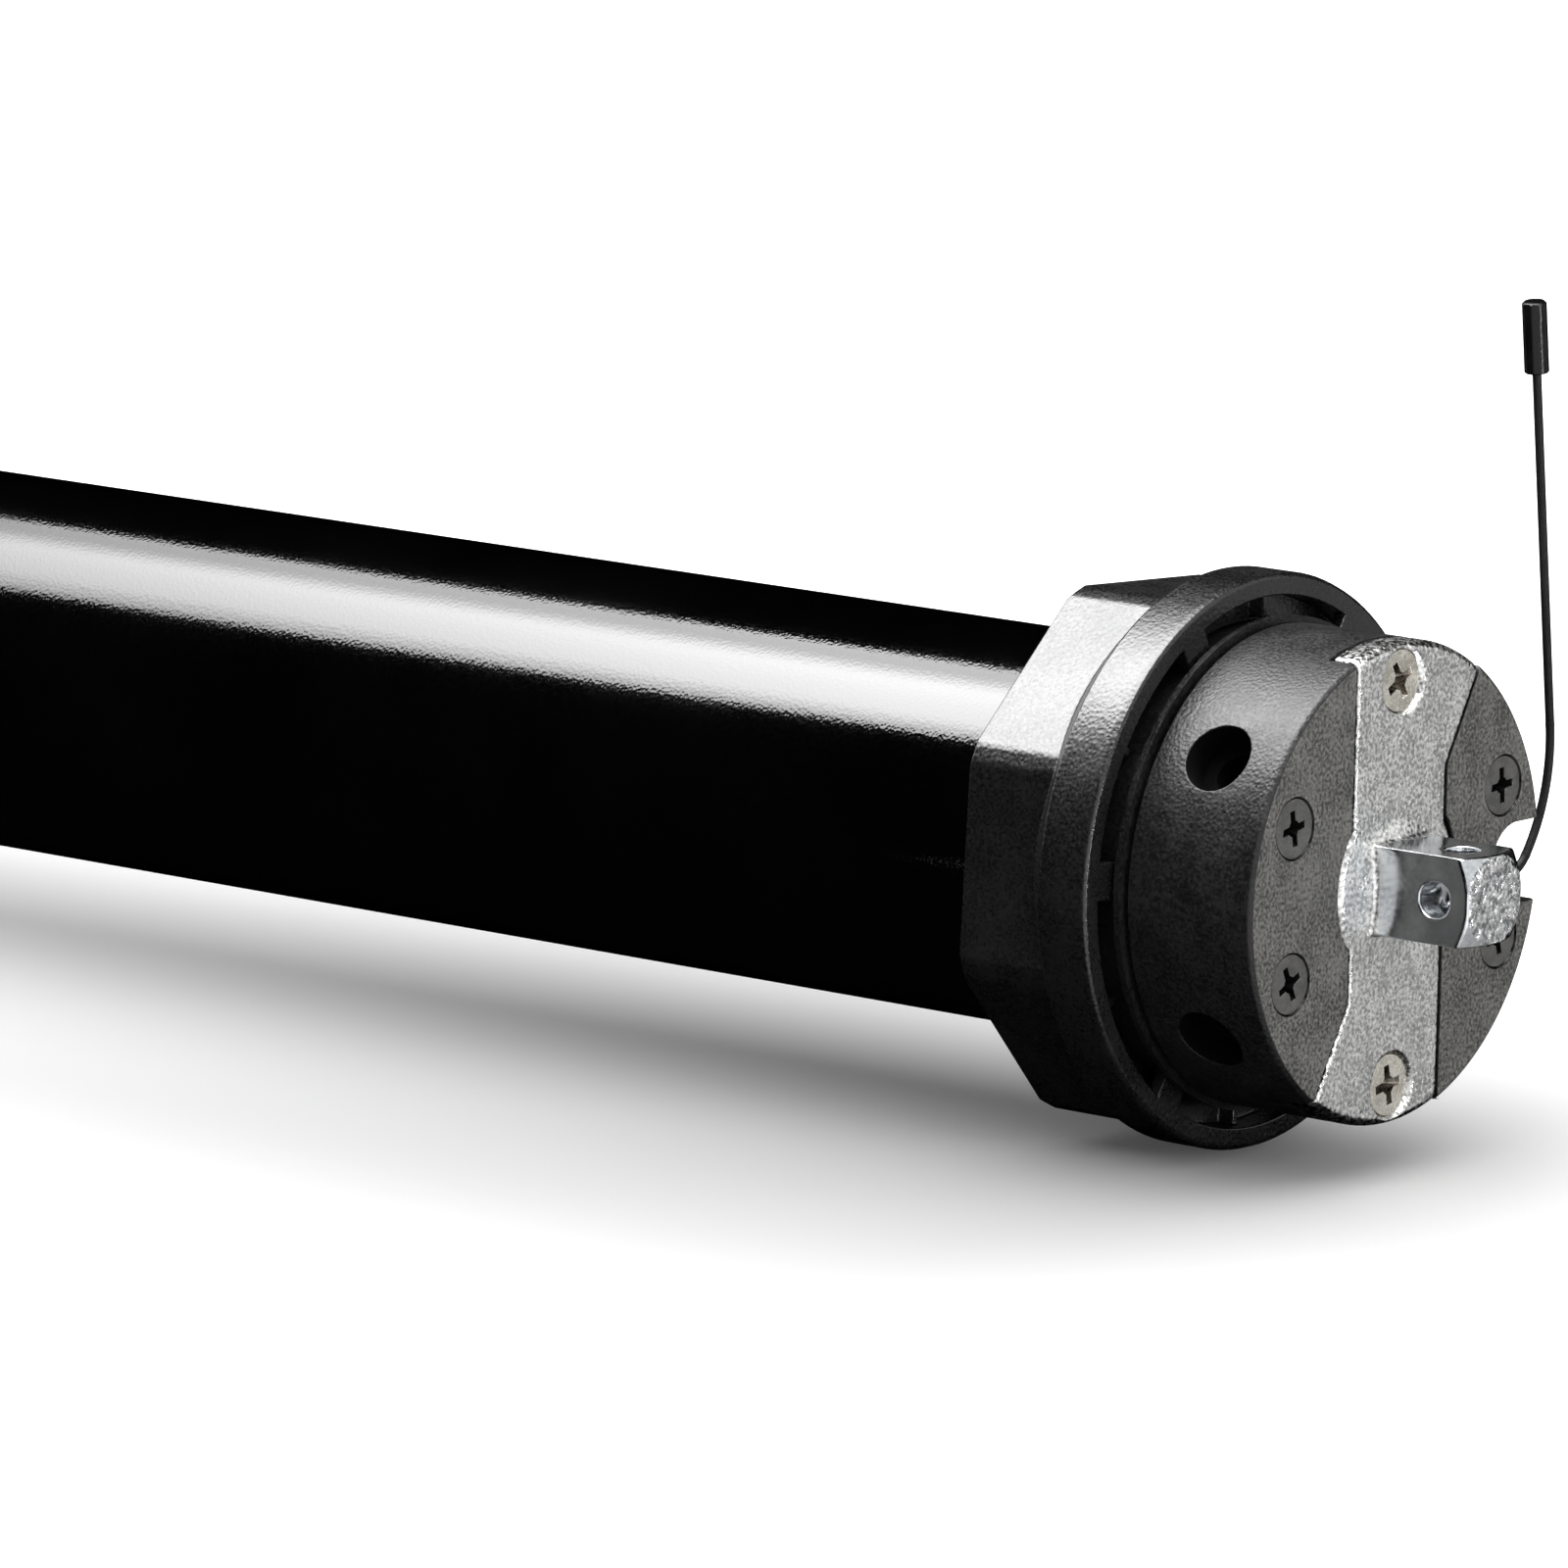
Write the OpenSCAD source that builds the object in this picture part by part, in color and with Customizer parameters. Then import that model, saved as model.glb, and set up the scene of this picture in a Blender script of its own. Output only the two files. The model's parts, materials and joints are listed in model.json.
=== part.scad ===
// Tubular roller blind motor, millimetres. The motor's axis is X: the head looks towards +X and the
// tube runs towards -X. X = 0 is the face of the head, where the square pin rises. +Z is up.

/* [Tube] */
// Outside diameter of the motor tube
tube_d = 45; // [44:0.5:46]
// Wall of the motor tube
tube_wall = 1.2; // [1:0.1:1.5]
// Radial gap between the tube and the units inside it
insert_gap = 0.2; // [0.1:0.05:0.3]
// Length of the head's spigot inside the tube
spigot_len = 20; // [16:1:26]

/* [Head] */
// Diameter of the head
head_d = 54; // [53.5:0.25:55]
// Length of the head's cap, from its face to its open end
cap_len = 16.8; // [16.5:0.1:18]
// Thickness of the cap's face wall
face_wall = 5.6; // [5:0.2:6]
// Wall of the cap round its open end
cap_rim_wall = 3.2; // [2.8:0.1:3.5]
// Width of the seam between the cap and the collar
seam_gap = 0.6; // [0.3:0.1:1]
// Width of the thin collar behind the seam
collar_w = 0.8; // [0.6:0.1:1]
// How far the collar stands out from the head
collar_rise = 0.7; // [0.5:0.1:0.9]
// How far the journal that the crown turns on sits below the head's side
journal_step = 0.6; // [0.5:0.05:0.75]
// Bevel on the edge of the face
face_bevel = 0.5; // [0.3:0.1:0.8]

/* [Bracket] */
// Thickness of the cast bracket
bracket_t = 3.6; // [3:0.2:4]
// Width of the bracket's arms
arm_w = 16.8; // [15:0.4:18]
// Distance from the axis where an arm's outer edge starts to flare
flare_start = 12.3; // [12:0.5:14]
// How far an arm's flared edge has moved out at the head's rim
flare_out = 6; // [4:0.5:7]
// Diameter of the bracket's round boss
boss_d = 21.8; // [20:0.2:23]
// Bevel on the bracket's front edges
bracket_bevel = 0.9; // [0.5:0.1:1.2]
// Distance from the head's side in to each bracket screw
bracket_screw_inset = 4.4; // [4.3:0.1:4.8]
// Diameter of the bracket screws' heads
bracket_head_d = 7; // [6.5:0.1:7]

/* [Square pin] */
// Width across the square pin's flats
pin_w = 10; // [9:0.5:11]
// Length of the square pin
pin_len = 13.2; // [12:0.4:18]
// Diameter of the cross holes
cross_hole_d = 4; // [3:0.2:4.4]
// Distance from the face to the cross holes
cross_hole_x = 8.5; // [7:0.25:9]
// Length of the turned bevel at the pin's end
pin_bevel = 1.4; // [1:0.1:1.6]

/* [Face screws and notch] */
// Distance from the head's side in to the face screws
face_screw_inset = 7.6; // [7.5:0.1:7.8]
// Distance of the face screws from the axis, up and down
face_screw_z = 8.6; // [8.4:0.1:8.8]
// Diameter of the face screws' heads
face_head_d = 7; // [6.4:0.2:7]
// Diameter of the face screws' shanks
face_shank_d = 3.2; // [3:0.1:3.3]
// Width of the cable notch
notch_w = 9.2; // [8.6:0.2:9.4]
// Depth of the cable notch into the head
notch_depth = 9; // [8:0.5:10]
// Distance from the head's side in to the centre of the notch's round end
notch_inset = 4.5; // [4:0.25:5]
// How far the notch sits below the middle of the head
notch_drop = 0.5; // [0:0.1:0.8]

/* [Limit adjusters] */
// Distance of the adjuster holes behind the face
adjuster_x = 8.8; // [8.5:0.1:9]
// Angle of the adjuster holes above and below the side of the head
adjuster_angle = 35.7; // [35:0.25:37]
// Diameter of the adjuster holes at the head's surface
adjuster_hole_d = 8; // [7:0.2:8.4]
// Diameter of the adjusters
adjuster_d = 4.7; // [4.2:0.1:4.8]
// Width across the flats of the adjusters' sockets
adjuster_socket = 3; // [2.5:0.25:3]

/* [Crown] */
// Wall of the crown between its journal and the flats of its octagon
crown_wall = 3; // [2.8:0.1:3.3]
// How far the octagon's turned corners stand out from its flats
corner_rise = 1.8; // [1.6:0.1:2.1]
// Length of the crown
crown_len = 19; // [18.8:0.1:20]
// How far the crown's flange stands out from the flats
flange_rise = 3; // [2.6:0.1:4.1]
// Length of the flange, from its bevel to the front
flange_len = 6.2; // [5:0.2:7]
// Wall of the flange round the open front
flange_wall = 2.6; // [2:0.1:3]
// Depth of the open front
crown_recess = 3.6; // [3:0.1:3.8]
// Number of tabs across the open front
tab_count = 6; // [3:1:9]
// Width of each tab
tab_w = 4.2; // [3:0.2:6]
// Thickness of each tab
tab_t = 1.6; // [1:0.1:2.4]
// Angle that the crown is turned to at rest
crown_turn = -2.9; // [-22:0.1:22]

/* [Antenna] */
// Diameter of the antenna's wire
wire_d = 0.85; // [0.7:0.05:1]
// Length of the antenna's straight stretch
wire_rise = 42; // [30:1:60]
// How far the straight stretch leans back, in degrees
wire_lean = 6.8; // [2:0.2:10]
// Diameter of the antenna's end cap
end_cap_d = 2.8; // [2:0.1:3.5]
// Length of the antenna's end cap
end_cap_len = 8.2; // [6:0.2:12]

/* [Electronics] */
// Length of the control board
board_len = 116; // [110:2:130]
// Diameter of the run capacitor
capacitor_d = 30; // [26:1:31]
// Length of the run capacitor
capacitor_len = 50; // [40:1:60]

/* [Motor and brake] */
// Length of the stator's stack
stack_len = 56; // [40:2:70]
// Diameter of the rotor
rotor_d = 20; // [18:0.5:21]
// Air gap between the rotor and the stator
air_gap = 0.4; // [0.3:0.05:0.6]
// Diameter of the rotor's shaft
rotor_shaft_d = 6; // [5:0.5:7]
// How far the brake plate moves when the brake lets go
brake_travel = 0.4; // [0.3:0.1:0.5]

/* [Gearbox] */
// Teeth on each sun gear
sun_teeth = 15; // [15:3:18]
// Wall of the gearbox case behind the ring's teeth
ring_wall = 2.3; // [2:0.1:2.6]
// Width of the first stage's gears
gear_w = 12; // [10:0.5:14]
// Diameter of the planet pins
planet_pin_d = 4; // [3.5:0.25:4.5]
// Diameter of the output shaft
output_d = 16; // [14:0.5:18]
// Width across the flats of the output shaft's square end
output_square = 11; // [9:0.25:11]
// How much narrower the drive wheel is than the crown, across the flats
wheel_ease = 0; // [0:0.1:1.8]
// Length of the drive wheel
wheel_len = 23; // [20:1:30]

/* [Hidden] */
$fn = 96;

// Clearances
cut = 0.01;         // cuts run this far past the face that they open
run_gap = 0.08;     // radial gap of a running fit
seat_gap = 0.1;     // gap between parts that seat in each other
end_gap = 0.3;      // axial gap between turning parts
screw_gap = 0.05;   // gap round a screw's shank and head
rivet_gap = 0.05;   // gap round a rivet's shank
snug = 0.02;        // gap round a pressed or glued piece

// Radii of the tube and of what it holds
tube_r = tube_d / 2;
bore_r = tube_r - tube_wall;
insert_r = bore_r - insert_gap;

// Head, from the face back
head_r = head_d / 2;
journal_r = head_r - journal_step;
collar_r = head_r + collar_rise;
cap_end_x = -cap_len;
collar_front_x = cap_end_x - seam_gap;
collar_back_x = collar_front_x - collar_w;
cap_core_wall = 8.6;
cap_core_r = head_r - cap_core_wall;
register_len = 3.6;
register_x = cap_end_x + register_len;
register_r = head_r - cap_rim_wall - seat_gap;
tab_front_gap = 0.4;
crown_front_x = collar_back_x - tab_front_gap;
crown_back_x = crown_front_x - crown_len;
crown_lip = 1.4;
crown_lip_gap = 0.3;
journal_end_x = crown_back_x + crown_lip + crown_lip_gap;
tube_front_x = journal_end_x - seat_gap;
spigot_end_x = tube_front_x - spigot_len;

// Inside of the head
unit_front_x = -face_wall - end_gap;
throat_r = cap_core_r - 1;
unit_r = throat_r - 0.6;
journal_wall = 6.6;
cavity_r = journal_r - journal_wall;
cavity_end_x = journal_end_x + 2.4;
notch_y = head_r - notch_inset;
notch_wall = 2.4;
cap_core_side_y = notch_y - notch_w / 2 - notch_wall;
unit_side_y = cap_core_side_y - 3.5;
lead_hole_r = 5;
spigot_wall = 2.5;

// Screws
bracket_screw_r = head_r - bracket_screw_inset;
face_screw_y = head_r - face_screw_inset;
screw_rim = 0.25;   // height of the straight rim of a countersunk head
screw_tip = 0.6;    // bevel at a screw's end
bracket_shank_d = 4;
bracket_screw_len = 11.6;
bracket_head_h = 2.2;
bracket_recess_depth = 0.5;
bracket_recess_rim = 0.3;
bracket_cross = 4;
face_cross = 3.8;
cross_depth = 1.6;
face_head_h = 2;
face_screw_len = 18;

// Square pin
pin_fillet = 0.7;
bracket_fit = 0.12;

// Adjusters
adjuster_step_r = head_r - 4.3;
adjuster_end_r = head_r - 9;
adjuster_inner_r = unit_r - 4.8;
adjuster_gap = 0.1;
adjuster_socket_depth = 3;

// Antenna: it leaves the notch straight, bends up in two arcs and rises in a leaning line
wire_x = -3.5;
wire_z = -2.95;
wire_start_y = notch_y - 4.9;
bend_start_y = notch_y + 2.7;
bend_1_r = 5;
bend_1_turn = 53;
bend_2_r = 20;
grommet_d = 2.4;
grommet_end_y = notch_y - 2.3;
wire_r = wire_d / 2;
bend_1_end = [bend_start_y + bend_1_r * sin(bend_1_turn), wire_z + bend_1_r * (1 - cos(bend_1_turn))];
bend_2_centre = bend_1_end + bend_2_r * [-sin(bend_1_turn), cos(bend_1_turn)];
lean_turn = 90 + wire_lean;
rise_start = bend_2_centre + bend_2_r * [sin(lean_turn), -cos(lean_turn)];
rise_dir = [cos(lean_turn), sin(lean_turn)];
cap_overlap = 1.5;  // length of the wire inside its end cap

// Cable socket
socket_r = 3.4;
socket_len = 3.6;
socket_y = notch_y - 0.2;
socket_pin_r = 0.5;
socket_pitch = 2;

// Teeth of the limit drive inside the crown
tooth_add = 0.8;    // addendum, in modules
tooth_ded = 1.05;   // dedendum, in modules
pressure_angle = 25;
backlash = 0.12;
crown_teeth = 70;
pinion_teeth = 12;
drive_pinion_teeth = 12;
limit_teeth = 36;
drive_module = 0.45;
crown_tip_r = journal_r + 0.8;
limit_module = 2 * crown_tip_r / (crown_teeth - 2 * tooth_add);
limit_angle = -90;
pinion_r = limit_module * (crown_teeth - pinion_teeth) / 2;
limit_gear_r = pinion_r - drive_module * (drive_pinion_teeth + limit_teeth) / 2;
pinion_tip_r = limit_module * (pinion_teeth / 2 + tooth_add);
crown_bore_gap = 0.1;
crown_teeth_front_x = crown_front_x - crown_recess - 1.2;
crown_teeth_len = 3.4;
crown_teeth_end_x = crown_teeth_front_x - crown_teeth_len;
limit_gear_x = crown_teeth_end_x - 1.7;
limit_gear_w = 3;
gear_room_r = limit_gear_r + drive_module * (limit_teeth / 2 + tooth_add) + 0.25;
pinion_end_x = limit_gear_x - limit_gear_w;
pinion_pin_r = 1.5;
unit_end_x = limit_gear_x + 0.9;

// Crown
crown_half = journal_r + crown_wall;
crown_corner_r = crown_half + corner_rise;
flange_r = crown_half + flange_rise;

// Crown's retaining ring
ring_groove_x = journal_end_x + 1.1;
ring_wire = 1.1;
ring_inner_r = journal_r - 1;
ring_outer_r = journal_r + 0.7;

// Electronics
tray_gap = 1;
tray_front_x = spigot_end_x - tray_gap;
tray_wall = 1.5;
board_x = tray_front_x - 1;
board_half_w = insert_r - tray_wall / 2;
board_t = 1.6;
board_end_x = board_x - board_len;
board_top = board_t + snug;
terminal_size = [10, 18, 10];
terminal_pitch = 5.5;
terminal_hole_r = 1.6;
relay_size = [19, 15, 12.5];
relay_along = 20;
core_size = [28, 22, 4];
core_along = 46;
coil_size = [20, 24, 13.5];
radio_size = [22, 14, 1.2];
radio_shield_size = [15, 11, 4];
radio_along = board_len - 34;
radio_side = 4;
capacitor_x = board_end_x - 4;
tray_end_x = capacitor_x - capacitor_len - 2;
tray_len = tray_front_x - tray_end_x;

// Brake
brake_front_x = tray_end_x - 2;
brake_wall = 3;
brake_shell = 1.7;
brake_inner_r = insert_r - brake_shell;
brake_floor_x = brake_front_x - brake_wall;
spring_h = 2.6 + brake_travel;
spring_x = brake_floor_x - 0.1;
plate_x = spring_x - spring_h;
plate_t = 4;
lining_x = plate_x - plate_t;
lining_t = 3;
brake_gap = 0.12;
disc_x = lining_x - lining_t - brake_gap;
disc_t = 3.5;
disc_hub = 1.5;
disc_hub_r = 6.5;
brake_end_x = disc_x - disc_t - 2;
key_w = 4;
key_in = 2.6;
key_gap = 0.25;
plate_r = brake_inner_r - 0.4;
disc_r = brake_inner_r - key_in - 0.8;
lining_r = brake_inner_r - key_in - 1.5;

// Motor
shield_t = 6;
bearing_r = 8;
bearing_w = 5;
shield_1_x = brake_end_x - 0.1;
shield_1_end_x = shield_1_x - shield_t;
winding_len = 9;
winding_gap = 2;
stack_x = shield_1_end_x - winding_gap - winding_len;
stack_end_x = stack_x - stack_len;
shield_2_x = stack_end_x - winding_len - winding_gap;
shield_2_end_x = shield_2_x - shield_t;
rotor_r = rotor_d / 2;
shaft_r = rotor_shaft_d / 2;
cage_len = 4.5;
slot_count = 16;
slot_r = 1.7;
slot_circle_r = rotor_r + air_gap + 3.2;
coil_gap = 0.2;
coil_r = slot_r - coil_gap;
winding_in_r = slot_circle_r - 2;
winding_out_r = insert_r - 2;

// Gearbox: a ring gear shared by three planetary stages of one size
planet_teeth = 15;
planet_count = 3;
ring_teeth = sun_teeth + 2 * planet_teeth;
gear_module = (insert_r - ring_wall) / (ring_teeth / 2 + tooth_ded);
planet_circle_r = gear_module * (sun_teeth + planet_teeth) / 2;
ring_tip_r = gear_module * (ring_teeth / 2 - tooth_add);
sun_tip_r = gear_module * (sun_teeth / 2 + tooth_add);
carrier_r = ring_tip_r - 0.5;
carrier_t = 4;
pin_r = planet_pin_d / 2;
gearbox_x = shield_2_end_x - seat_gap;
gearbox_wall = 3;
ring_x = gearbox_x - gearbox_wall;
stage_1_x = ring_x - 1.8;
carrier_1_x = stage_1_x - gear_w - end_gap;
carrier_1_end_x = carrier_1_x - carrier_t;
stage_2_x = carrier_1_end_x - 1;
carrier_2_x = stage_2_x - gear_w - end_gap;
carrier_2_end_x = carrier_2_x - carrier_t;
stage_3_w = gear_w + 1;
stage_3_x = carrier_2_end_x - 1;
carrier_3_x = stage_3_x - stage_3_w - end_gap;
carrier_3_t = 5;
carrier_3_end_x = carrier_3_x - carrier_3_t;
gearbox_end_x = carrier_3_end_x - 1.2;
cover_x = gearbox_end_x - seat_gap;
cover_len = 14;
cover_end_x = cover_x - cover_len;
cover_flange_t = 2;
tube_end_x = cover_end_x - seat_gap;
output_r = output_d / 2;
bush_wall = 4;
shoulder_x = tube_end_x - cover_flange_t - 1;

// Drive wheel
wheel_x = shoulder_x - seat_gap;
wheel_end_x = wheel_x - wheel_len;
wheel_rim = 2.6;
wheel_web = 3;
wheel_ribs = 8;
wheel_rib_t = 2.4;
wheel_hub_r = 12;
wheel_half = crown_half - wheel_ease / 2;
wheel_corner_r = wheel_half / cos(22.5) - 0.6;
clip_t = 1.2;
clip_x = wheel_end_x - 0.2;
clip_groove_r = output_square / 2 * 1.15;
output_end_x = clip_x - clip_t - 1.8;

// Rivets through the tube
rivet_r = 1.6;
rivet_head_r = 3;
rivet_head_h = 0.9;
rivet_len = 3;
front_rivet_x = tube_front_x - spigot_len / 2;
rear_rivet_x = (cover_x + cover_end_x) / 2;
front_rivets = [for (a = [-35, 35]) [front_rivet_x, a]];
rear_rivets = [for (a = [45, 135, 225, 315]) [rear_rivet_x, a]];
rivets = concat(front_rivets, rear_rivets);

// Colours
black_plastic = "#2b2b2d";
black_paint = "#151516";
cast_metal = "#c3c5c8";
steel = "#a9adb3";
bronze = "#b07a3c";
copper = "#b8622f";

// A round bar along X, from one X to another
module bar(r, x0, x1) {
  translate([min(x0, x1), 0, 0]) rotate([0, 90, 0]) cylinder(r = r, h = abs(x1 - x0));
}

// A tube along X
module pipe(r_out, r_in, x0, x1) {
  difference() {
    bar(r_out, x0, x1);
    bar(r_in, min(x0, x1) - cut, max(x0, x1) + cut);
  }
}

// A body turned about X from its outline of [x, radius] points
module turned(outline) {
  rotate([0, 90, 0]) rotate_extrude() polygon([for (p = outline) [p[1], p[0]]]);
}

// An outline drawn in Y and Z, extruded from one X to another
module plate(x0, x1) {
  translate([min(x0, x1), 0, 0]) rotate([90, 0, 90]) linear_extrude(abs(x1 - x0)) children();
}

// Moves a piece out from the axis, at an angle about X measured from +Y towards +Z
module around(angle, r = 0) {
  rotate([angle, 0, 0]) translate([0, r, 0]) children();
}

// A round bar along a radius, at its angle about X
module spoke(x, angle, r, r_from, r_to) {
  translate([x, 0, 0]) rotate([angle, 0, 0]) translate([0, r_from, 0])
    rotate([-90, 0, 0]) cylinder(r = r, h = r_to - r_from);
}

// An octagonal prism along X with its corners turned to a radius
module octagon_room(half, x0, x1) {
  plate(x0, x1) rotate(22.5) circle(r = half / cos(22.5), $fn = 8);
}
module octagon(half, corner_r, x0, x1) {
  intersection() {
    octagon_room(half, x0, x1);
    bar(corner_r, x0, x1);
  }
}

// Involute teeth
function involute(a) = tan(a) * 180 / PI - a;
function flank_angle(r, pitch_r, half) =
  let (base_r = pitch_r * cos(pressure_angle), a = r > base_r ? acos(base_r / r) : 0)
  half + involute(pressure_angle) - involute(a);
function tooth_points(teeth, module_size, tip_r, root_r, thicker) =
  let (
    pitch_r = module_size * teeth / 2,
    base_r = pitch_r * cos(pressure_angle),
    half = 90 / teeth + thicker / pitch_r * 90 / PI,
    start_r = max(base_r, root_r),
    radii = concat(root_r < start_r ? [root_r] : [],
      [for (i = [0 : 3]) start_r + (tip_r - start_r) * i / 3])
  )
  [for (r = radii) [r, flank_angle(r, pitch_r, half)]];
function gear_outline(teeth, module_size, tip_r, root_r, thicker) =
  let (side = tooth_points(teeth, module_size, tip_r, root_r, thicker), n = len(side))
  [for (t = [0 : teeth - 1], s = [-1, 1], i = [0 : n - 1])
    let (p = side[s < 0 ? i : n - 1 - i], a = 360 / teeth * t + s * p[1]) p[0] * [cos(a), sin(a)]];

// A gear whose first tooth is centred on the outline's own +Y direction
module teeth_outside(teeth, module_size) {
  polygon(gear_outline(teeth, module_size, module_size * (teeth / 2 + tooth_add),
    module_size * (teeth / 2 - tooth_ded), -backlash));
}

// The hollow of a gear with its teeth inside
module teeth_inside(teeth, module_size) {
  polygon(gear_outline(teeth, module_size, module_size * (teeth / 2 + tooth_ded),
    module_size * (teeth / 2 - tooth_add), backlash));
}

// Mounting bracket, with its square pin
arm_half = arm_w / 2;
boss_r = boss_d / 2;
reach = head_r + 2;
round_bevel = 0.75 * bracket_bevel;
flare_slope = flare_out / (head_r - 4 - flare_start);
flare_edge = [[-arm_half, -flare_start], [-arm_half - flare_slope * (reach - flare_start), -reach]];

// The bracket's two arms, and the room that the whole bracket takes up with a gap all round
module bracket_arms(gap, x0, x1) {
  left = concat([[-arm_half - gap, reach]], [for (p = flare_edge) p - [gap, 0]]);
  plate(x0, x1) polygon(concat(left, [for (p = left) -p]));
}
module bracket_room(gap, x0, x1) {
  bracket_arms(gap, x0, x1);
  bar(boss_r + gap, x0, x1);
}

module bracket_plate() {
  intersection() {
    bracket_arms(0, -bracket_t, 0);
    turned([[-bracket_t - 1, 0], [-bracket_t - 1, head_r], [-bracket_bevel, head_r],
      [bracket_bevel, head_r - 2 * round_bevel], [bracket_bevel, 0]]);
  }
  turned([[-bracket_t, 0], [-bracket_t, boss_r], [-bracket_bevel, boss_r],
    [0, boss_r - round_bevel], [0, 0]]);
}
module bracket_screw_places() {
  for (a = [90, -90]) around(a, bracket_screw_r) children();
}

// A countersunk screw's outline along X, with its head's face at X = 0, and the room that it needs
function countersunk(head_r, head_h, shank_r, length) = [[-length, 0], [-length, shank_r - screw_tip],
  [-length + screw_tip, shank_r], [-head_h, shank_r], [-screw_rim, head_r], [0, head_r], [0, 0]];
function countersunk_room(head_r, head_h, shank_r, from_x) = [[from_x, 0], [from_x, shank_r + screw_gap],
  [-head_h - screw_gap, shank_r + screw_gap], [-screw_rim - screw_gap, head_r + screw_gap]];

module mounting_bracket() {
  head_r = bracket_head_d / 2;
  recess_r = head_r + bracket_recess_rim;
  front_x = bracket_recess_depth + cut;
  color(cast_metal) {
    difference() {
      bracket_plate();
      bracket_screw_places() translate([-bracket_recess_depth, 0, 0]) turned(concat(
        countersunk_room(head_r, bracket_head_h, bracket_shank_d / 2, front_x - bracket_t - 2 * cut),
        [[0, head_r + screw_gap], [0, recess_r], [front_x, recess_r], [front_x, 0]]));
    }
    difference() {
      union() {
        intersection() {
          translate([-1, -pin_w / 2, -pin_w / 2]) cube([pin_len + 1, pin_w, pin_w]);
          turned([[-2, 0], [-2, pin_w], [pin_len - pin_bevel, pin_w * 0.71],
            [pin_len, pin_w / 2 - 0.1], [pin_len, 0]]);
        }
        turned([[-1, 0], [-1, pin_w * 0.72], [0, pin_w * 0.72], [pin_fillet, pin_w / 2 - 0.3], [pin_fillet, 0]]);
      }
      for (a = [0, 90]) rotate([a, 0, 0]) translate([cross_hole_x, -pin_w, 0])
        rotate([-90, 0, 0]) cylinder(d = cross_hole_d, h = 2 * pin_w);
    }
  }
}

// The cross recess of a screw's head
module cross_recess(size) {
  slot = size / 4.5;
  for (a = [0, 90]) rotate([a, 0, 0]) translate([-cross_depth, -size / 2, -slot / 2])
    cube([cross_depth + cut, size, slot]);
}

module bracket_screws() {
  color(cast_metal) bracket_screw_places() translate([-bracket_recess_depth, 0, 0]) difference() {
    turned(countersunk(bracket_head_d / 2, bracket_head_h, bracket_shank_d / 2, bracket_screw_len));
    cross_recess(bracket_cross);
  }
}

module face_screw_places() {
  for (y = [-1, 1], z = [-1, 1]) translate([0, y * face_screw_y, z * face_screw_z]) children();
}
module cap_screws() {
  color(black_paint) face_screw_places() difference() {
    turned(countersunk(face_head_d / 2, face_head_h, face_shank_d / 2, face_screw_len));
    cross_recess(face_cross);
  }
}

// The cable notch: a slot with a round inner end, open at the head's rim
module notch(from_x, depth) {
  plate(from_x, from_x - depth) translate([notch_y, -notch_drop]) {
    circle(d = notch_w);
    translate([0, -notch_w / 2]) square([head_r, notch_w]);
  }
}
module adjuster_places() {
  for (s = [-1, 1]) translate([-adjuster_x, 0, 0]) rotate([180 + s * adjuster_angle, 0, 0]) children();
}
module antenna_hole(r, y0, y1) {
  translate([wire_x, y0, wire_z]) rotate([-90, 0, 0]) cylinder(r = r, h = y1 - y0);
}

// Where the cable socket stands in the floor of the notch
module socket_place() {
  translate([-notch_depth, socket_y, -notch_drop]) children();
}

module head_cap() {
  register_seat_r = register_r + seat_gap;
  screw_room_r = face_head_d / 2 + screw_gap;
  color(black_plastic) difference() {
    turned([[cap_end_x, register_seat_r], [cap_end_x, head_r], [-face_bevel, head_r],
      [0, head_r - face_bevel], [0, 0], [register_x, 0], [register_x, register_seat_r]]);
    intersection() {
      bar(cap_core_r, register_x - 1, -face_wall);
      translate([register_x - 2, -head_r, -head_r]) cube([20, head_r + cap_core_side_y, head_d]);
    }
    bracket_room(bracket_fit, -bracket_t - snug, 1);
    bracket_screw_places()
      bar(bracket_shank_d / 2 + screw_gap, -bracket_recess_depth - bracket_screw_len - screw_gap, 0);
    face_screw_places() turned(concat(
      countersunk_room(face_head_d / 2, face_head_h, face_shank_d / 2, register_x - 1),
      [[1, screw_room_r], [1, 0]]));
    notch(1, notch_depth + 1);
    adjuster_places() {
      spoke(0, 0, adjuster_hole_d / 2, adjuster_step_r, reach);
      spoke(0, 0, adjuster_d / 2 + adjuster_gap, adjuster_inner_r, adjuster_step_r + 1);
    }
    antenna_hole(grommet_d / 2 + snug, wire_start_y, notch_y);
    socket_place() bar(socket_r + snug, register_x + notch_depth - 1, 1);
  }
}

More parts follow.
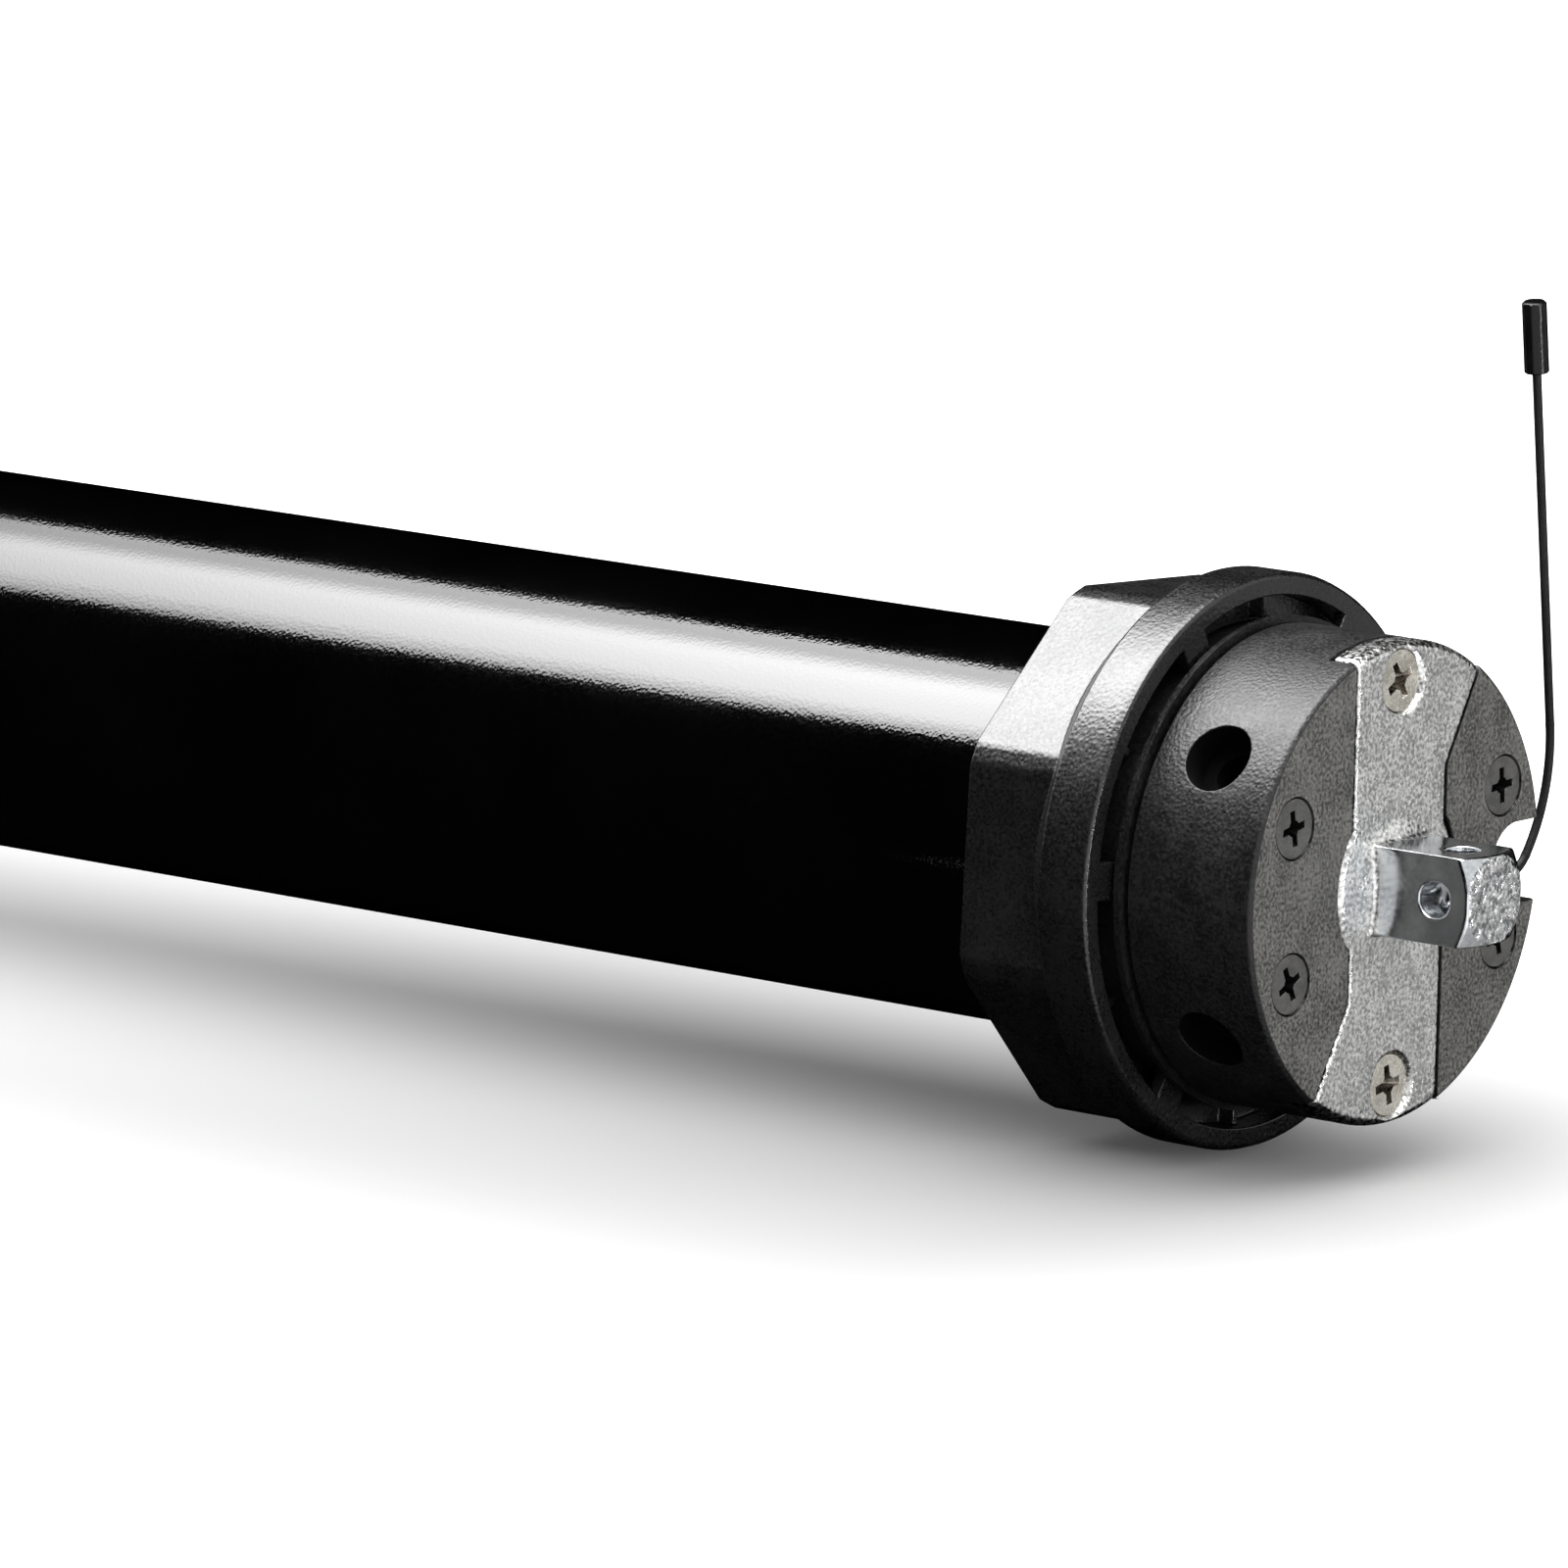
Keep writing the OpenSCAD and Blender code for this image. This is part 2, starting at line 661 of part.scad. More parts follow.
module head_body() {
  color(black_plastic) difference() {
    turned([[register_x - 0.2, throat_r], [register_x - 0.2, register_r], [collar_front_x, register_r],
      [collar_front_x, collar_r], [collar_back_x, collar_r], [collar_back_x, journal_r],
      [journal_end_x, journal_r], [journal_end_x, insert_r], [spigot_end_x + 0.6, insert_r],
      [spigot_end_x, insert_r - 0.6], [spigot_end_x, insert_r - spigot_wall],
      [journal_end_x, insert_r - spigot_wall], [journal_end_x, lead_hole_r], [cavity_end_x, lead_hole_r],
      [cavity_end_x, gear_room_r], [limit_gear_x + 0.6, gear_room_r], [limit_gear_x + 0.6, cavity_r],
      [collar_back_x, cavity_r], [collar_back_x, throat_r]]);
    face_screw_places() bar(face_shank_d / 2 + screw_gap, -face_screw_len - 1, 0);
    // the leads from the socket pass here
    translate([collar_back_x - 1, throat_r - 3, -notch_w / 2]) cube([6, 7, notch_w]);
    difference() {
      bar(journal_r + 1, ring_groove_x - ring_wire / 2 - 0.1, ring_groove_x + ring_wire / 2 + 0.1);
      bar(ring_inner_r - 0.2, ring_groove_x - ring_wire, ring_groove_x + ring_wire);
    }
    around(limit_angle, pinion_r) {
      bar(pinion_tip_r + 0.4, pinion_end_x - end_gap, crown_teeth_front_x + end_gap);
      bar(pinion_pin_r + run_gap, pinion_end_x - 2, crown_teeth_front_x + 3);
    }
    for (p = front_rivets) spoke(p[0], p[1], rivet_r + rivet_gap, insert_r - spigot_wall - 1, insert_r + 1);
  }
}

module limit_adjuster() {
  difference() {
    spoke(0, 0, adjuster_d / 2, adjuster_inner_r, adjuster_end_r);
    translate([0, adjuster_end_r - adjuster_socket_depth, 0]) rotate([-90, 0, 0])
      cylinder(d = adjuster_socket / cos(30), h = adjuster_socket_depth + cut, $fn = 6);
  }
}
module upper_limit_adjuster() {
  color("#b5261f") translate([-adjuster_x, 0, 0]) rotate([180 - adjuster_angle, 0, 0]) limit_adjuster();
}
module lower_limit_adjuster() {
  color("#d8b21c") translate([-adjuster_x, 0, 0]) rotate([180 + adjuster_angle, 0, 0]) limit_adjuster();
}

switch_size = [12.8, 5.8, 6.5];
switch_x = -14;
module switch_places() {
  for (s = [-1, 1]) translate([switch_x - switch_size[0], unit_side_y - switch_size[1],
    s * (switch_size[2] / 2 + 0.5) - switch_size[2] / 2]) children();
}
module limit_unit() {
  color("#d9d6cc") {
    difference() {
      intersection() {
        bar(unit_r, unit_end_x, unit_front_x);
        translate([unit_end_x - 1, -unit_r - 1, -unit_r - 1])
          cube([unit_front_x - unit_end_x + 2, unit_side_y + unit_r + 1, 2 * unit_r + 2]);
      }
      adjuster_places() spoke(0, 0, adjuster_d / 2 + adjuster_gap, adjuster_inner_r - 0.2, unit_r + 1);
      switch_places() translate([-seat_gap, -seat_gap, -seat_gap])
        cube(switch_size + [2 * seat_gap, 1, 2 * seat_gap]);
    }
    around(limit_angle, limit_gear_r) bar(pinion_pin_r, limit_gear_x - limit_gear_w - 0.8, unit_end_x + cut);
  }
}
module limit_switches() {
  color("#20242c") switch_places() {
    cube([switch_size[0], switch_size[1], switch_size[2]]);
    translate([3, switch_size[1] - cut, switch_size[2] / 2 - 0.8]) cube([2.4, 0.6, 1.6]);
  }
}
module limit_pinion() {
  color("#e6e2d6") around(limit_angle, pinion_r) {
    plate(crown_teeth_end_x, crown_teeth_front_x) teeth_outside(pinion_teeth, limit_module);
    plate(pinion_end_x, crown_teeth_end_x + cut) teeth_outside(drive_pinion_teeth, drive_module);
    bar(pinion_pin_r, pinion_end_x - 1.8, crown_teeth_front_x + 2.6);
  }
}
module limit_gear() {
  color("#e6e2d6") around(limit_angle, limit_gear_r) difference() {
    plate(limit_gear_x - limit_gear_w, limit_gear_x) rotate(180 / limit_teeth)
      teeth_outside(limit_teeth, drive_module);
    bar(pinion_pin_r + run_gap, limit_gear_x - limit_gear_w - cut, limit_gear_x + cut);
  }
}

// The crown: an octagon with turned corners, a bevelled flange, tabs in its open front and teeth inside
module crown_ring() {
  flange_in_r = flange_r - flange_wall;
  flange_back_x = crown_front_x - flange_len;
  low_r = crown_half - 0.4;
  bevel_x = flange_back_x - (flange_r - low_r);
  floor_x = crown_front_x - crown_recess;
  bore = journal_r + crown_bore_gap;
  color(black_plastic) rotate([crown_turn, 0, 0]) difference() {
    union() {
      octagon(crown_half, crown_corner_r, crown_back_x, flange_back_x);
      turned([[bevel_x, 0], [bevel_x, low_r], [flange_back_x, flange_r], [crown_front_x - 0.9, flange_r],
        [crown_front_x - 0.3, flange_r - 0.2], [crown_front_x, flange_r - 0.5], [crown_front_x, 0]]);
    }
    bar(bore, crown_back_x + crown_lip, crown_front_x + cut);
    bar(tube_r + 0.3, crown_back_x - cut, crown_front_x);
    difference() {
      bar(flange_in_r, floor_x, crown_front_x + cut);
      for (i = [0 : tab_count - 1]) around(180 + i * 360 / tab_count) intersection() {
        translate([crown_front_x - tab_t, 0, -tab_w / 2]) cube([tab_t + 1, flange_r, tab_w]);
        pipe(flange_r, journal_r + 0.3, crown_front_x - tab_t, crown_front_x + 1);
      }
      // thin ribs stiffen the recess between the tabs
      for (i = [0 : tab_count - 1]) around(180 + (i + 0.5) * 360 / tab_count) intersection() {
        translate([floor_x - 1, 0, -0.5]) cube([crown_recess - 0.6, flange_r, 1]);
        pipe(flange_r, bore + 0.6, floor_x - 1, crown_front_x);
      }
    }
    rotate([limit_angle - crown_turn, 0, 0])
      plate(crown_teeth_end_x, crown_teeth_front_x) teeth_inside(crown_teeth, limit_module);
    bar(ring_outer_r + 0.2, ring_groove_x - ring_wire / 2 - 0.2, ring_groove_x + ring_wire / 2 + 0.2);
  }
}
module crown_retaining_ring() {
  color(steel) difference() {
    pipe(ring_outer_r, ring_inner_r, ring_groove_x - ring_wire / 2, ring_groove_x + ring_wire / 2);
    translate([ring_groove_x - ring_wire, 0, -1.5]) cube([2 * ring_wire, ring_outer_r + 1, 3]);
  }
}

module cable_socket() {
  color("#e8e6df") socket_place() difference() {
    bar(socket_r, -socket_len, 0);
    for (i = [-1 : 1]) translate([0, 0, i * socket_pitch]) bar(socket_pin_r + snug, -socket_len - 1, 1);
  }
}
module socket_pins() {
  color(bronze) socket_place() for (i = [-1 : 1]) translate([0, 0, i * socket_pitch])
    bar(socket_pin_r, -socket_len, 3.4);
}

module antenna_grommet() {
  color("#3a3a3c") difference() {
    antenna_hole(grommet_d / 2, wire_start_y, grommet_end_y);
    antenna_hole(wire_r + snug, wire_start_y - 1, grommet_end_y + 1);
  }
}
// One bend of the wire in its upright plane, from one heading to another
module wire_bend(centre, r, from, turn) {
  translate([wire_x, centre[0], centre[1]]) rotate([90, 0, 90]) rotate([0, 0, from - 90])
    rotate_extrude(angle = turn) translate([r, 0]) circle(r = wire_r, $fn = 24);
}
module wire_straight(from, dir, length) {
  translate([wire_x, from[0], from[1]]) rotate([atan2(dir[1], dir[0]), 0, 0]) rotate([-90, 0, 0])
    cylinder(r = wire_r, h = length, $fn = 24);
}
// A sleeve that joins two stretches of the wire
module wire_sleeve(at, dir) {
  translate([wire_x, at[0], at[1]]) rotate([atan2(dir[1], dir[0]), 0, 0]) rotate([-90, 0, 0])
    cylinder(r = wire_r + snug, h = 0.4, center = true);
}
module antenna_wire() {
  color("#1d1d1f") {
    wire_straight([wire_start_y, wire_z], [1, 0], bend_start_y - wire_start_y);
    wire_bend([bend_start_y, wire_z + bend_1_r], bend_1_r, 0, bend_1_turn);
    wire_sleeve(bend_1_end, [cos(bend_1_turn), sin(bend_1_turn)]);
    wire_bend(bend_2_centre, bend_2_r, bend_1_turn, lean_turn - bend_1_turn);
    wire_sleeve(rise_start, rise_dir);
    wire_straight(rise_start, rise_dir, wire_rise);
  }
}
module antenna_cap() {
  from = rise_start + rise_dir * (wire_rise - cap_overlap);
  color("#101011") translate([wire_x, from[0], from[1]]) rotate([lean_turn, 0, 0]) rotate([-90, 0, 0])
    rotate_extrude() polygon([[wire_r + snug, 0], [end_cap_d / 2 - 0.15, 0], [end_cap_d / 2, 0.15],
      [end_cap_d / 2, end_cap_len - 0.3], [end_cap_d / 2 - 0.3, end_cap_len], [0, end_cap_len],
      [0, cap_overlap + snug], [wire_r + snug, cap_overlap + snug]]);
}

module motor_tube() {
  color(black_paint) difference() {
    pipe(tube_r, bore_r, tube_end_x, tube_front_x);
    for (p = rivets) spoke(p[0], p[1], rivet_r + rivet_gap, bore_r - 1, tube_r + 1);
  }
}
module tube_rivets() {
  color(steel) for (p = rivets) {
    spoke(p[0], p[1], rivet_r, tube_r - rivet_len, tube_r + 0.3);
    difference() {
      translate([p[0], 0, 0]) around(p[1], tube_r - 0.5) rotate([-90, 0, 0])
        cylinder(r1 = rivet_head_r, r2 = rivet_head_r - 1, h = rivet_head_h + 0.5);
      bar(tube_r, p[0] - rivet_head_r - 1, p[0] + rivet_head_r + 1);
    }
  }
}

// Electronics in their tray
module board_tray() {
  color("#303033") difference() {
    pipe(insert_r, insert_r - tray_wall, tray_end_x, tray_front_x);
    translate([tray_end_x - 1, -tube_r, 0]) cube([tray_len + 2, tube_d, tube_r]);
  }
}
module control_board() {
  color("#1f6b3a") translate([board_end_x, -board_half_w, snug])
    cube([board_len, 2 * board_half_w, board_t]);
}
// A box that stands on the board, placed from the board's front end
module on_board(along, size, side = 0) {
  translate([board_x - along - size[0], side - size[1] / 2, board_top]) cube(size);
}
module terminal_block() {
  color("#2c7a4b") difference() {
    on_board(tray_gap + 3, terminal_size);
    for (i = [-1 : 1])
      translate([board_x - 9, i * terminal_pitch, board_top + 6]) cylinder(r = terminal_hole_r, h = 5);
  }
}
module board_relays() {
  color("#2a5fa8") {
    for (s = [-1, 1]) on_board(relay_along, relay_size, s * (relay_size[1] + 1) / 2);
  }
}
module board_transformer() {
  color("#c9a227") on_board(core_along, core_size);
  color("#3b3b3e") on_board(core_along + 4, coil_size);
}
module radio_module() {
  color("#245a8c") on_board(radio_along, radio_size, radio_side);
  color(steel) on_board(radio_along + 3, radio_shield_size, radio_side);
}
module run_capacitor() {
  capacitor_z = -(insert_r - tray_wall - capacitor_d / 2 - 0.15);
  color("#dcdcd8") translate([0, 0, capacitor_z]) {
    turned([[capacitor_x - capacitor_len, 0], [capacitor_x - capacitor_len, capacitor_d / 2 - 1],
      [capacitor_x - capacitor_len + 1, capacitor_d / 2], [capacitor_x - 2.4, capacitor_d / 2],
      [capacitor_x - 1.4, capacitor_d / 2 - 1], [capacitor_x - 1.4, 0]]);
    for (y = [-5, 5]) translate([capacitor_x - 1.5, y - 0.4, -3]) cube([3.5, 0.8, 6]);
  }
}

// Brake
module brake_housing() {
  color(cast_metal) {
    difference() {
      bar(insert_r, brake_end_x, brake_front_x);
      bar(brake_inner_r, brake_end_x - cut, brake_floor_x);
      bar(lead_hole_r, brake_floor_x - cut, brake_front_x + cut);
    }
    for (i = [0 : 2]) around(90 + i * 120) intersection() {
      translate([brake_end_x + 1, 0, -key_w / 2])
        cube([brake_floor_x - brake_end_x - 1 + cut, insert_r, key_w]);
      pipe(insert_r - 1, brake_inner_r - key_in, brake_end_x + 1, brake_floor_x + cut);
    }
  }
}
module brake_spring() {
  color(steel) turned([[spring_x, 7], [spring_x, 7.7], [spring_x - spring_h + 0.1, 13],
    [spring_x - spring_h + 0.1, 12.3]]);
}
module brake_plate() {
  color(steel) difference() {
    pipe(plate_r, lead_hole_r, plate_x - plate_t, plate_x);
    for (i = [0 : 2]) around(90 + i * 120)
      translate([plate_x - plate_t - 1, brake_inner_r - key_in - key_gap, -key_w / 2 - key_gap])
        cube([plate_t + 2, tube_r, key_w + 2 * key_gap]);
  }
}
module brake_lining() {
  color("#6b5a4a") pipe(lining_r, lead_hole_r + 3, lining_x - lining_t, lining_x);
}
module brake_disc() {
  color(steel) difference() {
    turned([[disc_x - disc_t, 0], [disc_x - disc_t, disc_r], [disc_x, disc_r],
      [disc_x, disc_hub_r], [disc_x + disc_hub, disc_hub_r], [disc_x + disc_hub, 0]]);
    bar(shaft_r + snug, disc_x - disc_t - 1, disc_x + disc_hub + 1);
  }
}

// Motor
module end_shield(x, inner_x) {
  // the bearing sits in the side that looks at the stator
  seat_x = inner_x < x ? inner_x + bearing_w : inner_x - bearing_w;
  difference() {
    bar(insert_r, min(x, inner_x), max(x, inner_x));
    bar(bearing_r + snug, seat_x, inner_x < x ? inner_x - cut : inner_x + cut);
    bar(shaft_r + 1, min(x, inner_x) - cut, max(x, inner_x) + cut);
    for (i = [0 : 3]) around(45 + i * 90, 15) bar(2.4, min(x, inner_x) - cut, max(x, inner_x) + cut);
  }
}
module brake_end_shield() {
  color(cast_metal) end_shield(shield_1_x, shield_1_end_x);
}
module gear_end_shield() {
  color(cast_metal) end_shield(shield_2_end_x, shield_2_x);
}
module rotor_bearings() {
  color(steel) for (x = [shield_1_end_x, shield_2_x - bearing_w])
    pipe(bearing_r, shaft_r + run_gap, x, x + bearing_w);
}
module stator_stack() {
  stack_bore = rotor_r + air_gap;
  color("#6d7075") difference() {
    pipe(insert_r, stack_bore, stack_end_x, stack_x);
    for (i = [0 : slot_count - 1]) around(i * 360 / slot_count) {
      translate([0, slot_circle_r, 0]) bar(slot_r, stack_end_x - cut, stack_x + cut);
      translate([stack_end_x - cut, rotor_r, -0.5]) cube([stack_len + 2 * cut, slot_circle_r - rotor_r, 1]);
    }
  }
}
module winding_ring(x0, x1) {
  turned([[x0 + 1.2, winding_in_r], [x0, winding_in_r + 1.2], [x0, winding_out_r - 2], [x0 + 2, winding_out_r],
    [x1 - 2, winding_out_r], [x1, winding_out_r - 2], [x1, winding_in_r + 1.2], [x1 - 1.2, winding_in_r]]);
}
module stator_windings() {
  end = 0.3;
  color(copper) {
    winding_ring(stack_x + end, stack_x + winding_len);
    winding_ring(stack_end_x - winding_len, stack_end_x - end);
    for (i = [0 : slot_count - 1]) around(i * 360 / slot_count, slot_circle_r)
      bar(coil_r, stack_end_x - 1, stack_x + 1);
  }
}
module rotor_core() {
  color("#7a7d82") pipe(rotor_r, shaft_r + snug, stack_end_x, stack_x);
}
module rotor_cage() {
  color("#c9ccd1") {
    pipe(rotor_r - 0.6, shaft_r + 2, stack_x, stack_x + cage_len);
    pipe(rotor_r - 0.6, shaft_r + 2, stack_end_x - cage_len, stack_end_x);
  }
}
shaft_front_x = disc_x + disc_hub;
shaft_end_x = stage_1_x - gear_w;
module rotor_shaft() {
  color(steel) bar(shaft_r, shaft_end_x, shaft_front_x);
}
module sun_pinion() {
  color("#8b8e94") difference() {
    plate(stage_1_x - gear_w, stage_1_x) teeth_outside(sun_teeth, gear_module);
    bar(shaft_r + snug, stage_1_x - gear_w - 1, stage_1_x + 1);
  }
}

// Gearbox
module gearbox_case() {
  color("#4a4c50") difference() {
    bar(insert_r, gearbox_end_x, gearbox_x);
    bar(sun_tip_r + 0.6, ring_x - cut, gearbox_x + cut);
    plate(carrier_3_x, ring_x) teeth_inside(ring_teeth, gear_module);
    bar(ring_tip_r + 0.2, gearbox_end_x - cut, carrier_3_x + cut);
  }
}
// A planet, its first tooth pointing out from the axis
module planet(x, w, place) {
  around(place * 360 / planet_count, planet_circle_r) difference() {
    plate(x - w, x) teeth_outside(planet_teeth, gear_module);
    bar(pin_r + run_gap, x - w - cut, x + cut);
  }
}
// A carrier's plate with its planet pins, the pins reaching just past the planets
module carrier_plate(x, t, pin_len) {
  bar(carrier_r, x - t, x);
  for (i = [0 : planet_count - 1])
    around(i * 360 / planet_count, planet_circle_r) bar(pin_r, x - cut, x + pin_len);
}
module carrier_1() {
  color("#9a9da3") {
    carrier_plate(carrier_1_x, carrier_t, gear_w + 2 * end_gap);
    plate(stage_2_x - gear_w, carrier_1_end_x + cut) teeth_outside(sun_teeth, gear_module);
  }
}
module carrier_2() {
  color("#9a9da3") {
    carrier_plate(carrier_2_x, carrier_t, gear_w + 2 * end_gap);
    plate(stage_3_x - stage_3_w, carrier_2_end_x + cut) teeth_outside(sun_teeth, gear_module);
  }
}
module output_carrier() {
  half = output_square / 2;
  color("#9a9da3") {
    carrier_plate(carrier_3_x, carrier_3_t, stage_3_w + 2 * end_gap);
    bar(output_r, shoulder_x, carrier_3_end_x + cut);
    difference() {
      translate([output_end_x, -half, -half])
        cube([shoulder_x - output_end_x + cut, output_square, output_square]);
      pipe(output_square, clip_groove_r, clip_x - clip_t - 0.1, clip_x + 0.1);
    }
  }
}

module stage_1_planet_a() { color("#b9bcc2") planet(stage_1_x, gear_w, 0); }
module stage_1_planet_b() { color("#b9bcc2") planet(stage_1_x, gear_w, 1); }
module stage_1_planet_c() { color("#b9bcc2") planet(stage_1_x, gear_w, 2); }
module stage_2_planet_a() { color("#b9bcc2") planet(stage_2_x, gear_w, 0); }
module stage_2_planet_b() { color("#b9bcc2") planet(stage_2_x, gear_w, 1); }
module stage_2_planet_c() { color("#b9bcc2") planet(stage_2_x, gear_w, 2); }
module stage_3_planet_a() { color("#b9bcc2") planet(stage_3_x, stage_3_w, 0); }
module stage_3_planet_b() { color("#b9bcc2") planet(stage_3_x, stage_3_w, 1); }
module stage_3_planet_c() { color("#b9bcc2") planet(stage_3_x, stage_3_w, 2); }

cover_back_x = tube_end_x - cover_flange_t;
module gearbox_cover() {
  bush_seat_r = output_r + bush_wall + snug;
  color(cast_metal) difference() {
    turned([[cover_back_x, bush_seat_r], [cover_back_x, tube_r - 0.6], [cover_back_x + 0.6, tube_r],
      [tube_end_x - snug, tube_r], [tube_end_x - snug, insert_r], [cover_x, insert_r],
      [cover_x, bush_seat_r]]);
    for (p = rear_rivets) spoke(p[0], p[1], rivet_r + rivet_gap, tube_r - rivet_len - 1, tube_r + 1);
  }
}
module output_bush() {
  color(bronze) pipe(output_r + bush_wall, output_r + run_gap, cover_back_x, cover_x);
}

module drive_wheel() {
  half = output_square / 2 + 0.05;
  middle_x = wheel_x - wheel_len / 2;
  color(black_plastic) {
    difference() {
      octagon(wheel_half, wheel_corner_r, wheel_end_x, wheel_x);
      octagon_room(wheel_half - wheel_rim, wheel_end_x - cut, wheel_x + cut);
    }
    difference() {
      union() {
        bar(wheel_half - 1, middle_x - wheel_web / 2, middle_x + wheel_web / 2);
        bar(wheel_hub_r, wheel_end_x, wheel_x);
        for (i = [0 : wheel_ribs - 1]) around(i * 360 / wheel_ribs)
          translate([wheel_end_x + 1, 0, -wheel_rib_t / 2]) cube([wheel_len - 2, wheel_half - 1, wheel_rib_t]);
      }
      translate([wheel_end_x - 1, -half, -half]) cube([wheel_len + 2, 2 * half, 2 * half]);
    }
  }
}
module drive_clip() {
  color(steel) difference() {
    pipe(output_square * 0.85, clip_groove_r + 0.05, clip_x - clip_t, clip_x);
    translate([clip_x - clip_t - 1, 0, -2.5]) cube([clip_t + 2, output_square, 5]);
  }
}

mounting_bracket();
bracket_screws();
head_cap();
cap_screws();
head_body();
upper_limit_adjuster();
lower_limit_adjuster();
limit_unit();
limit_switches();
limit_pinion();
limit_gear();
crown_ring();
crown_retaining_ring();
cable_socket();
socket_pins();
antenna_grommet();
antenna_wire();
antenna_cap();
motor_tube();
tube_rivets();
board_tray();
control_board();
board_relays();
board_transformer();
radio_module();
terminal_block();
run_capacitor();
brake_housing();
brake_spring();
brake_plate();
brake_lining();
brake_disc();
brake_end_shield();
gear_end_shield();
rotor_bearings();
stator_stack();
stator_windings();
rotor_core();
rotor_cage();
rotor_shaft();
sun_pinion();
gearbox_case();
carrier_1();
carrier_2();
output_carrier();
stage_1_planet_a();
stage_1_planet_b();
stage_1_planet_c();
stage_2_planet_a();
stage_2_planet_b();
stage_2_planet_c();
stage_3_planet_a();
stage_3_planet_b();
stage_3_planet_c();
gearbox_cover();
output_bush();
drive_wheel();
drive_clip();
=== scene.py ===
"""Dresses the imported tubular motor: rounded mouldings and castings, their finishes, and the studio.

Every piece sits in the motor's own frame, in metres: X along the motor's axis and out of its head,
Z up. The CAD nodes stay where they are. Those whose edges show get a rounded copy in their place.
"""

from __future__ import annotations

import json
import logging
import math
from dataclasses import dataclass, field
from enum import Enum, IntEnum

import bmesh
import bpy
from mathutils import Matrix, Vector

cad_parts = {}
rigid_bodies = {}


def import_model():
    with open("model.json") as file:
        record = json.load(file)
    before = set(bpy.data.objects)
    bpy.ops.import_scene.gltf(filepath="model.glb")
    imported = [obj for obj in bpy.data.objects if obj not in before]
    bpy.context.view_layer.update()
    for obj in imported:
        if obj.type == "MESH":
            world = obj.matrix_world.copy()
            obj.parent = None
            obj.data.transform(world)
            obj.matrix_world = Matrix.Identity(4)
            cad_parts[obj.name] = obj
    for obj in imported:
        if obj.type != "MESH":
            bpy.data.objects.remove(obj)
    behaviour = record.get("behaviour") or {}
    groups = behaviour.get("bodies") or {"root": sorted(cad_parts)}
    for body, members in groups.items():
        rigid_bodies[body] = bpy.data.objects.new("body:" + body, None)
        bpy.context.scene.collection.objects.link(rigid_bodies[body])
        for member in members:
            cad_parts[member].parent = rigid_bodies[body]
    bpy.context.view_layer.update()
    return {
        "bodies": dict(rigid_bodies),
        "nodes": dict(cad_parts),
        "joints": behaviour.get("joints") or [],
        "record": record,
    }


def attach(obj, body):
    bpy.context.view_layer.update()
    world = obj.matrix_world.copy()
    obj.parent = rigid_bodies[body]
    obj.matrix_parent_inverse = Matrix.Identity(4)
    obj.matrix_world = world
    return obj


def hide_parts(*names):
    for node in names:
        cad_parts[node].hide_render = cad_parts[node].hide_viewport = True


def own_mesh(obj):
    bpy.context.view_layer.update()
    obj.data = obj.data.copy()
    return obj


log = logging.getLogger("motor")

Colour = tuple[float, float, float]
Point = tuple[float, float, float]
Span = tuple[float, float]

MM = 0.001
MICRON = 1e-6
WHITE = (1.0, 1.0, 1.0, 1.0)

# Points of a CAD mesh nearer than this, in metres, are one point.
MERGE = 3e-6
# Faces of a CAD mesh that turn by less than this, in degrees, are one flat face.
FLAT_ANGLE = 0.6
# Edges sharper than this, in degrees, stay hard in the shading.
SMOOTH_ANGLE = 34.0
# How much large faces outweigh small ones in the shading: 50 is by their areas, and 100 is the most.
FLAT_WEIGHT = 100
# How long a rounded edge's plain and sharp neighbours are at least, in widths of the rounding.
SIDE_ROOM = 1.6
SEAM_ROOM = 0.3
# A tool mark's length, in its finish's dents.
MARK_RUN = 10


class Skin(Enum):
    """The kinds of surface relief that the motor's materials have."""

    MOULDED = "moulded"
    CAST = "cast"
    ENAMEL = "enamel"
    TURNED = "turned"
    SHEET = "sheet"


def fill(node: bpy.types.Node, values: dict[str, float | Colour]) -> bpy.types.Node:
    """Sets some of a node's inputs.

    Args:
        node: The node.
        values: The inputs' names and values.

    Returns:
        The node.
    """
    for label, value in values.items():
        node.inputs[label].default_value = value
    return node


